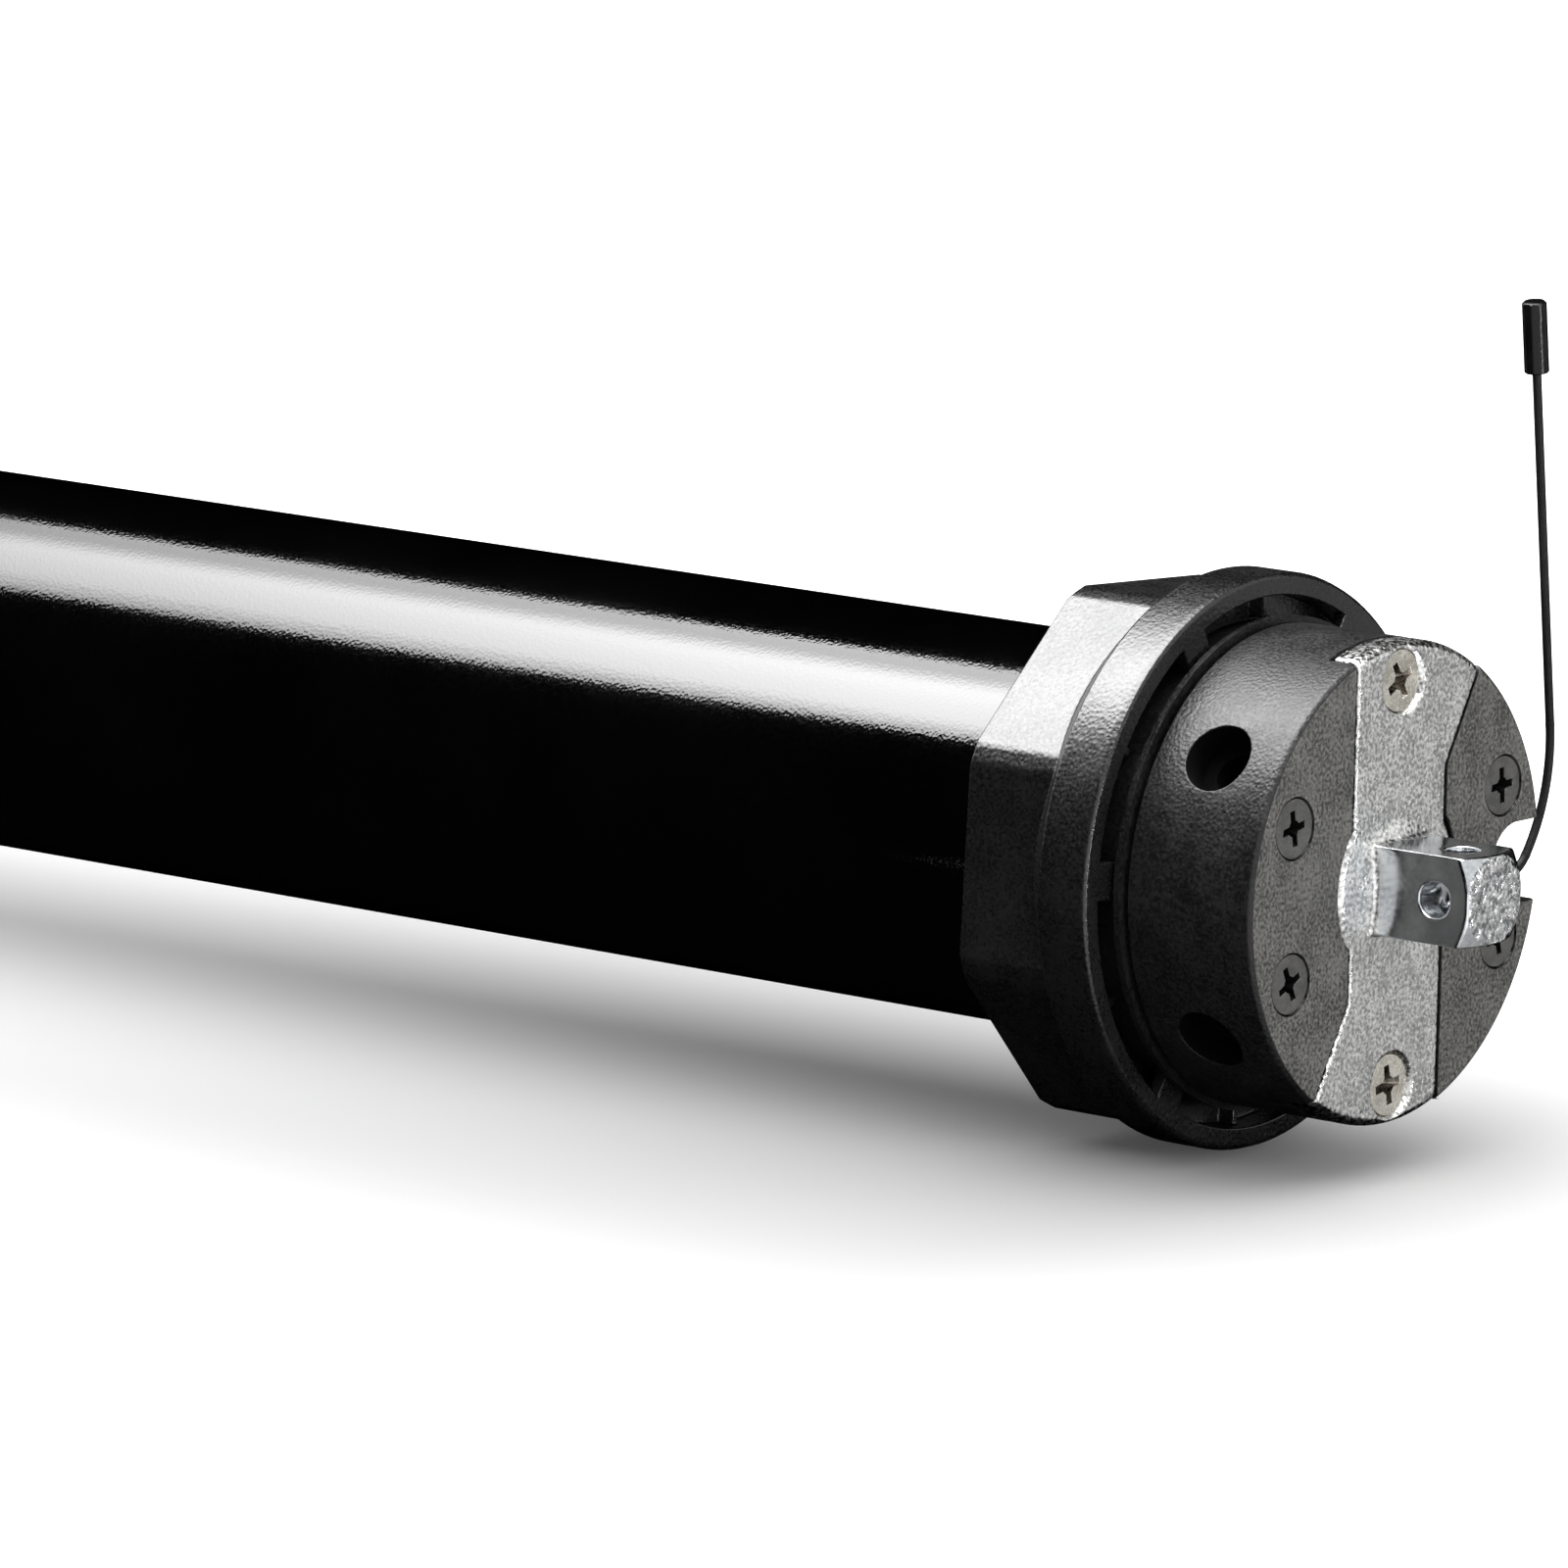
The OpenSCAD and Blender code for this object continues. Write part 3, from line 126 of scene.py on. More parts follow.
@dataclass
class Look:
    """Shared shader node groups, each built once and placed in the materials that use it."""

    patch_detail: float = 5.0
    speck_detail: float = 2.0
    contrast: Span = (0.4, 0.6)
    cell_softness: float = 0.6
    dent_detail: float = 4.0
    mark_detail: float = 3.0
    made: dict[str, bpy.types.Material] = field(default_factory=dict)

    def __post_init__(self) -> None:
        """Builds the three groups."""
        self.speckle = self._speckle()
        self.relief = self._relief()
        self.strokes = self._strokes()

    @staticmethod
    def _group(name: str, inputs: list[str], output: str) -> bpy.types.NodeTree:
        """Makes an empty group.

        Args:
            name: The group's name.
            inputs: The inputs' names.
            output: The output's name.

        Returns:
            The group, with its input and output nodes in it.
        """
        tree = bpy.data.node_groups.new(name, "ShaderNodeTree")
        for label in inputs:
            tree.interface.new_socket(name=label, in_out="INPUT", socket_type="NodeSocketFloat")
        tree.interface.new_socket(name=output, in_out="OUTPUT", socket_type="NodeSocketFloat")
        tree.nodes.new("NodeGroupInput")
        tree.nodes.new("NodeGroupOutput")
        return tree

    def _speckle(self) -> bpy.types.NodeTree:
        """Builds soft cloudy patches with fine specks in them, from 0 to 1.

        Returns:
            The group, whose Mask is about 0.5 on average.
        """
        tree = self._group("speckle", ["Patch Scale", "Speck Scale", "Specks"], "Mask")
        nodes, links = tree.nodes, tree.links
        given, out = nodes["Group Input"], nodes["Group Output"]
        place = nodes.new("ShaderNodeTexCoord")
        patch = fill(nodes.new("ShaderNodeTexNoise"), {"Detail": self.patch_detail})
        speck = fill(nodes.new("ShaderNodeTexNoise"), {"Detail": self.speck_detail})
        blend = nodes.new("ShaderNodeMix")
        low, high = self.contrast
        spread = fill(nodes.new("ShaderNodeMapRange"), {"From Min": low, "From Max": high})
        links.new(place.outputs["Object"], patch.inputs["Vector"])
        links.new(place.outputs["Object"], speck.inputs["Vector"])
        links.new(given.outputs["Patch Scale"], patch.inputs["Scale"])
        links.new(given.outputs["Speck Scale"], speck.inputs["Scale"])
        links.new(given.outputs["Specks"], blend.inputs["Factor"])
        links.new(patch.outputs["Fac"], blend.inputs["A"])
        links.new(speck.outputs["Fac"], blend.inputs["B"])
        links.new(blend.outputs["Result"], spread.inputs["Value"])
        links.new(spread.outputs["Result"], out.inputs["Mask"])
        return tree

    def _relief(self) -> bpy.types.NodeTree:
        """Builds a grained height: rounded cells over broader dents.

        Returns:
            The group, with a Height of about 0 to 1.
        """
        tree = self._group("relief", ["Grain Scale", "Dent Scale", "Dents"], "Height")
        nodes, links = tree.nodes, tree.links
        given, out = nodes["Group Input"], nodes["Group Output"]
        place = nodes.new("ShaderNodeTexCoord")
        cells = nodes.new("ShaderNodeTexVoronoi")
        cells.feature = "SMOOTH_F1"
        fill(cells, {"Smoothness": self.cell_softness})
        dents = fill(nodes.new("ShaderNodeTexNoise"), {"Detail": self.dent_detail})
        blend = nodes.new("ShaderNodeMix")
        links.new(place.outputs["Object"], cells.inputs["Vector"])
        links.new(place.outputs["Object"], dents.inputs["Vector"])
        links.new(given.outputs["Grain Scale"], cells.inputs["Scale"])
        links.new(given.outputs["Dent Scale"], dents.inputs["Scale"])
        links.new(given.outputs["Dents"], blend.inputs["Factor"])
        links.new(cells.outputs["Distance"], blend.inputs["A"])
        links.new(dents.outputs["Fac"], blend.inputs["B"])
        links.new(blend.outputs["Result"], out.inputs["Height"])
        return tree

    def _strokes(self) -> bpy.types.NodeTree:
        """Builds fine tool marks that run round the motor's axis.

        Returns:
            The group, with a Height of about 0 to 1.
        """
        tree = self._group("strokes", ["Pitch", "Run"], "Height")
        nodes, links = tree.nodes, tree.links
        given, out = nodes["Group Input"], nodes["Group Output"]
        place = nodes.new("ShaderNodeTexCoord")
        stretch = nodes.new("ShaderNodeCombineXYZ")
        scaled = nodes.new("ShaderNodeVectorMath")
        scaled.operation = "MULTIPLY"
        marks = fill(nodes.new("ShaderNodeTexNoise"), {"Scale": 1.0, "Detail": self.mark_detail})
        links.new(given.outputs["Pitch"], stretch.inputs["X"])
        links.new(given.outputs["Run"], stretch.inputs["Y"])
        links.new(given.outputs["Run"], stretch.inputs["Z"])
        links.new(place.outputs["Object"], scaled.inputs[0])
        links.new(stretch.outputs["Vector"], scaled.inputs[1])
        links.new(scaled.outputs["Vector"], marks.inputs["Vector"])
        links.new(marks.outputs["Fac"], out.inputs["Height"])
        return tree


@dataclass(frozen=True)
class Finish:
    """One finish: two tones, a gloss range and a relief, in real sizes."""

    name: str
    dark: Colour
    light: Colour
    gloss: Span
    skin: Skin = Skin.MOULDED
    metal: float = 0.0
    patch_mm: float = 12.0
    speck_mm: float = 0.5
    specks: float = 0.5
    grain_mm: float = 0.3
    dent_mm: float = 2.0
    dents: float = 0.3
    depth_um: float = 20.0
    coat: float = 0.0
    coat_gloss: float = 0.1
    ior: float = 1.5

    def material(self, look: Look) -> bpy.types.Material:
        """Builds the finish's material, or finds it if it's already there.

        Args:
            look: The shared node groups.

        Returns:
            The material.
        """
        if self.name in look.made:
            return look.made[self.name]
        made = look.made[self.name] = bpy.data.materials.new(f"{self.name}_finish")
        made.use_nodes = True
        nodes, links = made.node_tree.nodes, made.node_tree.links
        shader = fill(nodes["Principled BSDF"], {
            "Metallic": self.metal,
            "IOR": self.ior,
            "Coat Weight": self.coat,
            "Coat Roughness": self.coat_gloss,
        })
        patches = self._place(nodes, look.speckle, {
            "Patch Scale": 1 / (self.patch_mm * MM),
            "Speck Scale": 1 / (self.speck_mm * MM),
            "Specks": self.specks,
        })
        tone = nodes.new("ShaderNodeMix")
        tone.data_type = "RGBA"
        fill(tone, {"A": (*self.dark, 1.0), "B": (*self.light, 1.0)})
        low, high = self.gloss
        sheen = fill(nodes.new("ShaderNodeMapRange"), {"To Min": low, "To Max": high})
        links.new(patches.outputs["Mask"], tone.inputs["Factor"])
        links.new(patches.outputs["Mask"], sheen.inputs["Value"])
        links.new(tone.outputs["Result"], shader.inputs["Base Color"])
        links.new(sheen.outputs["Result"], shader.inputs["Roughness"])
        if self.skin in (Skin.TURNED, Skin.SHEET):
            height = self._place(nodes, look.strokes, {
                "Pitch": 1 / (self.grain_mm * MM),
                "Run": 1 / (self.dent_mm * MARK_RUN * MM),
            })
        else:
            height = self._place(nodes, look.relief, {
                "Grain Scale": 1 / (self.grain_mm * MM),
                "Dent Scale": 1 / (self.dent_mm * MM),
                "Dents": self.dents,
            })
        bump = fill(nodes.new("ShaderNodeBump"), {"Distance": self.depth_um * MICRON})
        links.new(height.outputs["Height"], bump.inputs["Height"])
        links.new(bump.outputs["Normal"], shader.inputs["Normal"])
        return made

    @staticmethod
    def _place(nodes: bpy.types.Nodes, group: bpy.types.NodeTree,
               values: dict[str, float]) -> bpy.types.Node:
        """Puts a shared group in a material.

        Args:
            nodes: The material's nodes.
            group: The shared group.
            values: What each of its inputs is set to.

        Returns:
            The group's node.
        """
        node = nodes.new("ShaderNodeGroup")
        node.node_tree = group
        return fill(node, values)


# Each finish has its darker and its lighter tone, then the range of its roughness.
CROWN_MOULDING = Finish(
    "crown_moulding", (0.004, 0.004, 0.0044), (0.01, 0.01, 0.0105), (0.25, 0.36),
    patch_mm=6, speck_mm=0.35, specks=0.65, grain_mm=0.5, dent_mm=1.6, depth_um=60, ior=1.57)
CAP_MOULDING = Finish(
    "cap_moulding", (0.005, 0.005, 0.0052), (0.013, 0.013, 0.0134), (0.34, 0.48),
    patch_mm=5, speck_mm=0.4, specks=0.65, grain_mm=0.42, dent_mm=1.6, depth_um=75, ior=1.41)
# Painted light: the cap's face is the same black plastic as its sides, made a lighter grey where it faces
# the front, with a coarser, matter grain of its own.
LIT_FACE_MOULDING = Finish(
    "lit_face_moulding", (0.02, 0.0195, 0.0185), (0.165, 0.161, 0.15), (0.36, 0.55),
    patch_mm=5, speck_mm=0.42, specks=0.72, grain_mm=0.5, depth_um=150)
# Painted shade: a darker, duller copy of the black moulding, for the adjuster holes and the black screws'
# crosses, where shade falls.
HOLE_SHADE_MOULDING = Finish(
    "hole_shade_moulding", (0.0015, 0.0015, 0.0016), (0.003, 0.003, 0.0032), (0.75, 0.9),
    patch_mm=5, grain_mm=0.5, depth_um=20, ior=1.15)
CAST_ZINC = Finish(
    "cast_zinc", (0.38, 0.385, 0.38), (0.9, 0.9, 0.89), (0.2, 0.36), Skin.CAST, metal=1.0,
    patch_mm=3, speck_mm=0.46, specks=0.72, grain_mm=0.6, dent_mm=1.8, dents=0.45, depth_um=150)
MILLED_ZINC = Finish(
    "milled_zinc", (0.46, 0.48, 0.5), (0.66, 0.68, 0.7), (0.13, 0.24), Skin.CAST, metal=1.0,
    patch_mm=3, specks=0.3, grain_mm=0.9, dent_mm=3, dents=0.6, depth_um=7)
CROPPED_ZINC = Finish(
    "cropped_zinc", (0.22, 0.23, 0.24), (1.0, 1.0, 1.0), (0.1, 0.26), Skin.CAST, metal=1.0,
    patch_mm=1.1, speck_mm=0.45, grain_mm=0.7, dent_mm=1.1, dents=0.6, depth_um=480)
PLATED_SCREW = Finish(
    "plated_screw", (0.6, 0.57, 0.5), (0.97, 0.93, 0.84), (0.16, 0.3), Skin.TURNED, metal=1.0,
    patch_mm=2, speck_mm=0.3, grain_mm=0.15, dent_mm=1, depth_um=6)
# Painted shade: a darker copy of the screws' plating, for the recesses of the bracket screws' crosses.
RECESS_SHADE_PLATING = Finish(
    "recess_shade_plating", (0.1, 0.088, 0.075), (0.42, 0.38, 0.33), (0.22, 0.34), Skin.CAST, metal=1.0,
    patch_mm=1, speck_mm=0.3, grain_mm=0.4, dent_mm=1, depth_um=30)
# Painted light: the black screws' heads are lightened to the grey of the cap's lit face.
LIT_BLACK_SCREW = Finish(
    "black_screw", (0.04, 0.039, 0.037), (0.09, 0.088, 0.083), (0.28, 0.42), Skin.TURNED,
    patch_mm=2, speck_mm=0.3, dent_mm=1, depth_um=8, coat=0.3, coat_gloss=0.3)
TUBE_ENAMEL = Finish(
    "tube_enamel", (0.0008, 0.0008, 0.001), (0.0016, 0.0016, 0.0018), (0.06, 0.1), Skin.ENAMEL,
    patch_mm=20, grain_mm=0.4, dent_mm=0.9, dents=0.2, depth_um=14)
RED_PLASTIC = Finish("red_plastic", (0.32, 0.012, 0.01), (0.46, 0.02, 0.015), (0.3, 0.4), depth_um=5)
YELLOW_PLASTIC = Finish("yellow_plastic", (0.5, 0.36, 0.03), (0.68, 0.5, 0.05), (0.3, 0.4), depth_um=5)
IVORY_PLASTIC = Finish("ivory_plastic", (0.6, 0.57, 0.48), (0.74, 0.71, 0.62), (0.35, 0.5), depth_um=6)
WHITE_PLASTIC = Finish("white_plastic", (0.7, 0.69, 0.65), (0.8, 0.79, 0.76), (0.3, 0.4), depth_um=5)
DARK_PLASTIC = Finish("dark_plastic", (0.015, 0.017, 0.022), (0.035, 0.037, 0.045), (0.35, 0.5), depth_um=8)
WIRE_SHEATH = Finish(
    "wire_sheath", (0.006, 0.006, 0.0065), (0.013, 0.013, 0.014), (0.3, 0.4),
    patch_mm=3, speck_mm=0.2, grain_mm=0.15, dent_mm=1, depth_um=4, ior=1.25)
SOFT_CAP = Finish(
    "soft_cap", (0.003, 0.003, 0.0032), (0.006, 0.006, 0.0065), (0.2, 0.26),
    patch_mm=3, speck_mm=0.2, dent_mm=1, depth_um=4, ior=1.3)
BRIGHT_STEEL = Finish(
    "bright_steel", (0.42, 0.43, 0.45), (0.6, 0.61, 0.63), (0.18, 0.32), Skin.TURNED, metal=1.0,
    grain_mm=0.12, dent_mm=1.5, depth_um=4)
DIE_CAST = Finish(
    "die_cast", (0.42, 0.43, 0.44), (0.58, 0.59, 0.6), (0.35, 0.5), Skin.CAST, metal=1.0, grain_mm=0.5)
GEAR_STEEL = Finish(
    "gear_steel", (0.2, 0.2, 0.21), (0.34, 0.34, 0.35), (0.25, 0.4), Skin.TURNED, metal=1.0,
    grain_mm=0.15, dent_mm=1, depth_um=5)
OILED_STEEL = Finish(
    "oiled_steel", (0.05, 0.05, 0.055), (0.1, 0.1, 0.105), (0.3, 0.42), Skin.CAST, metal=0.9,
    grain_mm=0.2, depth_um=8)
LAMINATION = Finish(
    "lamination", (0.1, 0.1, 0.11), (0.24, 0.24, 0.25), (0.3, 0.5), Skin.SHEET, metal=1.0,
    grain_mm=0.5, dent_mm=8, depth_um=25)
COPPER_WIRE = Finish(
    "copper_wire", (0.28, 0.07, 0.025), (0.5, 0.17, 0.06), (0.2, 0.35), Skin.CAST, metal=0.85,
    patch_mm=2, grain_mm=0.5, dent_mm=1.2, depth_um=60)
CONTACT_BRASS = Finish(
    "contact_brass", (0.5, 0.34, 0.12), (0.68, 0.5, 0.22), (0.2, 0.3), Skin.TURNED, metal=1.0, depth_um=3)
BRONZE = Finish(
    "bronze", (0.34, 0.18, 0.07), (0.5, 0.3, 0.13), (0.35, 0.5), Skin.CAST, metal=1.0,
    grain_mm=0.2, depth_um=10)
FRICTION = Finish(
    "friction", (0.07, 0.05, 0.035), (0.17, 0.12, 0.08), (0.75, 0.9), grain_mm=0.4, depth_um=40)
BOARD_GREEN = Finish(
    "board_green", (0.01, 0.1, 0.03), (0.02, 0.16, 0.05), (0.25, 0.35), patch_mm=4, depth_um=5)
TERMINAL_GREEN = Finish("terminal_green", (0.02, 0.16, 0.06), (0.04, 0.23, 0.1), (0.35, 0.5), depth_um=8)
RELAY_BLUE = Finish("relay_blue", (0.02, 0.08, 0.3), (0.04, 0.13, 0.4), (0.25, 0.35), depth_um=6)
RADIO_BLUE = Finish("radio_blue", (0.015, 0.07, 0.2), (0.03, 0.11, 0.27), (0.25, 0.35), depth_um=6)
TAPE_YELLOW = Finish("tape_yellow", (0.48, 0.3, 0.02), (0.6, 0.4, 0.04), (0.2, 0.3), depth_um=8)
FILM_GREY = Finish("film_grey", (0.62, 0.62, 0.6), (0.74, 0.74, 0.72), (0.3, 0.4), depth_um=8)

SLOT_FINISH = {
    "cast_zinc": CAST_ZINC,
    "screw_zinc": PLATED_SCREW,
    "black_plastic": CAP_MOULDING,
    "black_screw": LIT_BLACK_SCREW,
    "red_plastic": RED_PLASTIC,
    "yellow_plastic": YELLOW_PLASTIC,
    "ivory_plastic": IVORY_PLASTIC,
    "switch_plastic": DARK_PLASTIC,
    "white_plastic": WHITE_PLASTIC,
    "contact_brass": CONTACT_BRASS,
    "soft_rubber": SOFT_CAP,
    "wire_sheath": WIRE_SHEATH,
    "tube_paint": TUBE_ENAMEL,
    "plain_steel": BRIGHT_STEEL,
    "tray_plastic": DARK_PLASTIC,
    "board_green": BOARD_GREEN,
    "relay_blue": RELAY_BLUE,
    "transformer_yellow": TAPE_YELLOW,
    "radio_blue": RADIO_BLUE,
    "terminal_green": TERMINAL_GREEN,
    "capacitor_film": FILM_GREY,
    "die_cast": DIE_CAST,
    "lining": FRICTION,
    "lamination": LAMINATION,
    "copper_wire": COPPER_WIRE,
    "cage_aluminium": DIE_CAST,
    "gear_steel": GEAR_STEEL,
    "case_steel": OILED_STEEL,
    "bearing_bronze": BRONZE,
}


def deselect_all() -> None:
    """Leaves nothing selected and no object active."""
    if bpy.context.object and bpy.context.object.mode != "OBJECT":
        bpy.ops.object.mode_set(mode="OBJECT")
    bpy.ops.object.select_all(action="DESELECT")


def pick(piece: bpy.types.Object) -> None:
    """Makes one piece the only selected one, and the active one.

    Args:
        piece: The piece to work on.
    """
    deselect_all()
    piece.select_set(True)
    bpy.context.view_layer.objects.active = piece


def edit_all() -> None:
    """Goes into edit mode on the active piece, with all of it selected."""
    bpy.ops.object.mode_set(mode="EDIT")
    bpy.ops.mesh.select_all(action="SELECT")


def mark_edges(mesh: bpy.types.Mesh, width: float, sharp: float) -> None:
    """Marks for rounding each sharp edge that has room for it.

    Args:
        mesh: The mesh, with its flat faces whole.
        width: How far the rounding reaches, in metres.
        sharp: The least angle between an edge's faces, in radians.
    """
    shape = bmesh.new()
    shape.from_mesh(mesh)
    weight = shape.edges.layers.float.new("bevel_weight_edge")
    edges = {e for e in shape.edges if len(e.link_faces) == 2 and e.calc_face_angle(0.0) > sharp}
    cramped = {v for e in edges for v in e.verts for side in v.link_edges
               if side.calc_length() < width * (SEAM_ROOM if side in edges else SIDE_ROOM)}
    for edge in edges:
        if not cramped.intersection(edge.verts):
            edge[weight] = 1.0
    shape.to_mesh(mesh)
    shape.free()


def round_marked(piece: bpy.types.Object, width: float, steps: int) -> None:
    """Rounds a piece's marked edges.

    Args:
        piece: The piece.
        width: How far the rounding reaches, in metres.
        steps: Segments in the rounding.
    """
    pick(piece)
    rounding = piece.modifiers.new("rounding", "BEVEL")
    rounding.width = width
    rounding.segments = steps
    rounding.limit_method = "WEIGHT"
    rounding.use_clamp_overlap = False
    bpy.ops.object.modifier_apply(modifier=rounding.name)
    bpy.ops.object.shade_smooth_by_angle(angle=math.radians(SMOOTH_ANGLE))
    flats = piece.modifiers.new("flats", "WEIGHTED_NORMAL")
    flats.mode = "FACE_AREA"
    flats.weight = FLAT_WEIGHT
    flats.keep_sharp = True
    bpy.ops.object.modifier_apply(modifier=flats.name)


def turned(name: str, outline: list[Span], sides: int) -> bpy.types.Object:
    """Turns a solid round the X axis, by extruding a disc from one station to the next.

    Args:
        name: The solid's name.
        outline: Stations along X with the radius at each, in millimetres.
        sides: Faces round the solid.

    Returns:
        The solid.
    """
    deselect_all()
    (x, r), rest = outline[0], outline[1:]
    bpy.ops.mesh.primitive_circle_add(vertices=sides, radius=r * MM, fill_type="NGON",
                                      location=(x * MM, 0, 0), rotation=(0, math.pi / 2, 0))
    solid = bpy.context.object
    solid.name = solid.data.name = name
    bpy.ops.object.transform_apply(location=True, rotation=True, scale=True)
    edit_all()
    for next_x, next_r in rest:
        bpy.ops.mesh.extrude_region_move(TRANSFORM_OT_translate={"value": ((next_x - x) * MM, 0, 0)})
        bpy.ops.transform.resize(value=(1, next_r / r, next_r / r), center_override=(next_x * MM, 0, 0))
        x, r = next_x, next_r
    bpy.ops.mesh.select_all(action="SELECT")
    bpy.ops.mesh.normals_make_consistent(inside=False)
    bpy.ops.object.mode_set(mode="OBJECT")
    return solid


def cut_away(piece: bpy.types.Object, cutter: bpy.types.Object) -> None:
    """Cuts one solid out of another, and removes the cutter.

    Args:
        piece: The solid that is cut.
        cutter: The solid that is taken out.
    """
    pick(piece)
    cut = piece.modifiers.new("cut", "BOOLEAN")
    cut.operation = "DIFFERENCE"
    cut.solver = "EXACT"
    cut.object = cutter
    bpy.ops.object.modifier_apply(modifier=cut.name)
    bpy.data.objects.remove(cutter)


@dataclass
class Motor:
    """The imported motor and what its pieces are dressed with."""

    frame: dict
    look: Look
    body_of: dict[str, str] = field(default_factory=dict)
    slot_of: dict[str, str] = field(default_factory=dict)

    def __post_init__(self) -> None:
        """Reads which body and which material slot each node has."""
        record = self.frame["record"]
        for body, nodes in record["behaviour"]["bodies"].items():
            for node in nodes:
                self.body_of[node] = body
        for row in record["subparts"]:
            self.slot_of[row["node"]] = row["material_slot"]

    def dress_nodes(self) -> None:
        """Gives every CAD node its finish."""
        for name, node in self.frame["nodes"].items():
            finish = SLOT_FINISH[self.slot_of[name]]
            node.data.materials.clear()
            node.data.materials.append(finish.material(self.look))
            log.info("node %s: %s", name, finish.name)

    def copied(self, node: str, name: str) -> bpy.types.Object:
        """Makes a copy of a CAD node, with its loose triangles merged.

        Args:
            node: The CAD node.
            name: The new piece's name.

        Returns:
            The copy.
        """
        mesh = self.frame["nodes"][node].data.copy()
        mesh.name = name
        piece = bpy.data.objects.new(name, mesh)
        bpy.context.scene.collection.objects.link(piece)
        pick(piece)
        edit_all()
        bpy.ops.mesh.remove_doubles(threshold=MERGE)
        bpy.ops.object.mode_set(mode="OBJECT")
        return piece

    def stands_for(self, piece: bpy.types.Object, node: str, *finishes: Finish) -> None:
        """Dresses a new piece and puts it in a CAD node's place.

        Args:
            piece: The new piece.
            node: The CAD node that it stands for.
            finishes: The piece's finishes, in the order of its faces' material numbers.
        """
        numbers = [face.material_index for face in piece.data.polygons]
        piece.data.materials.clear()
        for finish in finishes:
            piece.data.materials.append(finish.material(self.look))
        if len(finishes) > 1:
            piece.data.polygons.foreach_set("material_index", [min(n, len(finishes) - 1) for n in numbers])
        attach(piece, self.body_of[node])
        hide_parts(node)
        log.info("piece %s stands for %s: %d faces", piece.name, node, len(piece.data.polygons))

    def fattened(self, node: str, name: str, more_mm: float) -> bpy.types.Object:
        """Makes a copy of a CAD node with its skin moved outwards.

        Args:
            node: The CAD node.
            name: The copy's name.
            more_mm: How far the skin moves.

        Returns:
            The copy.
        """
        piece = self.copied(node, name)
        edit_all()
        bpy.ops.mesh.normals_make_consistent(inside=False)
        bpy.ops.transform.shrink_fatten(value=more_mm * MM, use_even_offset=True)
        bpy.ops.object.mode_set(mode="OBJECT")
        bpy.ops.mesh.customdata_custom_splitnormals_clear()
        return piece

    def rounded(self, node: str, name: str, width_mm: float, finish: Finish, steps: int = 2,
                sharp: float = 30.0, bed: str = "", bed_room_mm: float = 0.0) -> bpy.types.Object:
        """Makes a copy of a CAD node with rounded edges, which stands for it.

        Args:
            node: The CAD node.
            name: The new piece's name.
            width_mm: How far the rounding reaches from each edge.
            finish: The piece's finish.
            steps: Segments in each rounding.
            sharp: The least angle between faces, in degrees, of an edge that is rounded.
            bed: A node that lies in the piece and shows a gap round it, if any.
            bed_room_mm: The width of that gap.

        Returns:
            The new piece.
        """
        piece = self.copied(node, name)
        if bed:
            cut_away(piece, self.fattened(bed, f"{name}_bed", bed_room_mm))
        edit_all()
        bpy.ops.mesh.dissolve_limited(angle_limit=math.radians(FLAT_ANGLE))
        bpy.ops.object.mode_set(mode="OBJECT")
        mark_edges(piece.data, width_mm * MM, math.radians(sharp))
        round_marked(piece, width_mm * MM, steps)
        self.stands_for(piece, node, finish)
        return piece


class ZincFace(IntEnum):
    """The casting's kinds of face, in the order of its finishes."""

    ROUGH = 0
    MILLED = 1
    CROPPED = 2


class ScrewFace(IntEnum):
    """A screw's kinds of face, in the order of its finishes: the plain ones, and the cross's recess with
    painted shade.
    """

    PLAIN = 0
    SHADED_RECESS = 1


class CapFace(IntEnum):
    """The cap's kinds of face, in the order of its finishes: sides, front with painted light, adjuster
    holes with painted shade.
    """

    SIDE = 0
    FRONT = 1
    SHADED_HOLE = 2


@dataclass
class Bracket:
    """The die-cast bracket with its milled square pin, remade as one rounded skin."""

    motor: Motor
    voxel_mm: float = 0.25
    softening: int = 10
    soft_share: float = 0.5
    pin_root_mm: float = 1.1
    pin_end_mm: float = 13.0
    end_facing: float = 0.85

    def build(self) -> None:
        """Remakes the casting and dresses its rough, milled and cropped faces."""
        casting = self.motor.copied("mounting_bracket", "bracket_casting")
        skin = casting.modifiers.new("skin", "REMESH")
        skin.mode = "VOXEL"
        skin.voxel_size = self.voxel_mm * MM
        bpy.ops.object.modifier_apply(modifier=skin.name)
        soft = casting.modifiers.new("soft", "SMOOTH")
        soft.factor = self.soft_share
        soft.iterations = self.softening
        bpy.ops.object.modifier_apply(modifier=soft.name)
        bpy.ops.object.shade_smooth()
        self.motor.stands_for(casting, "mounting_bracket", CAST_ZINC, MILLED_ZINC, CROPPED_ZINC)
        for face in casting.data.polygons:
            if face.center.x > self.pin_end_mm * MM and face.normal.x > self.end_facing:
                face.material_index = ZincFace.CROPPED
            elif face.center.x > self.pin_root_mm * MM:
                face.material_index = ZincFace.MILLED


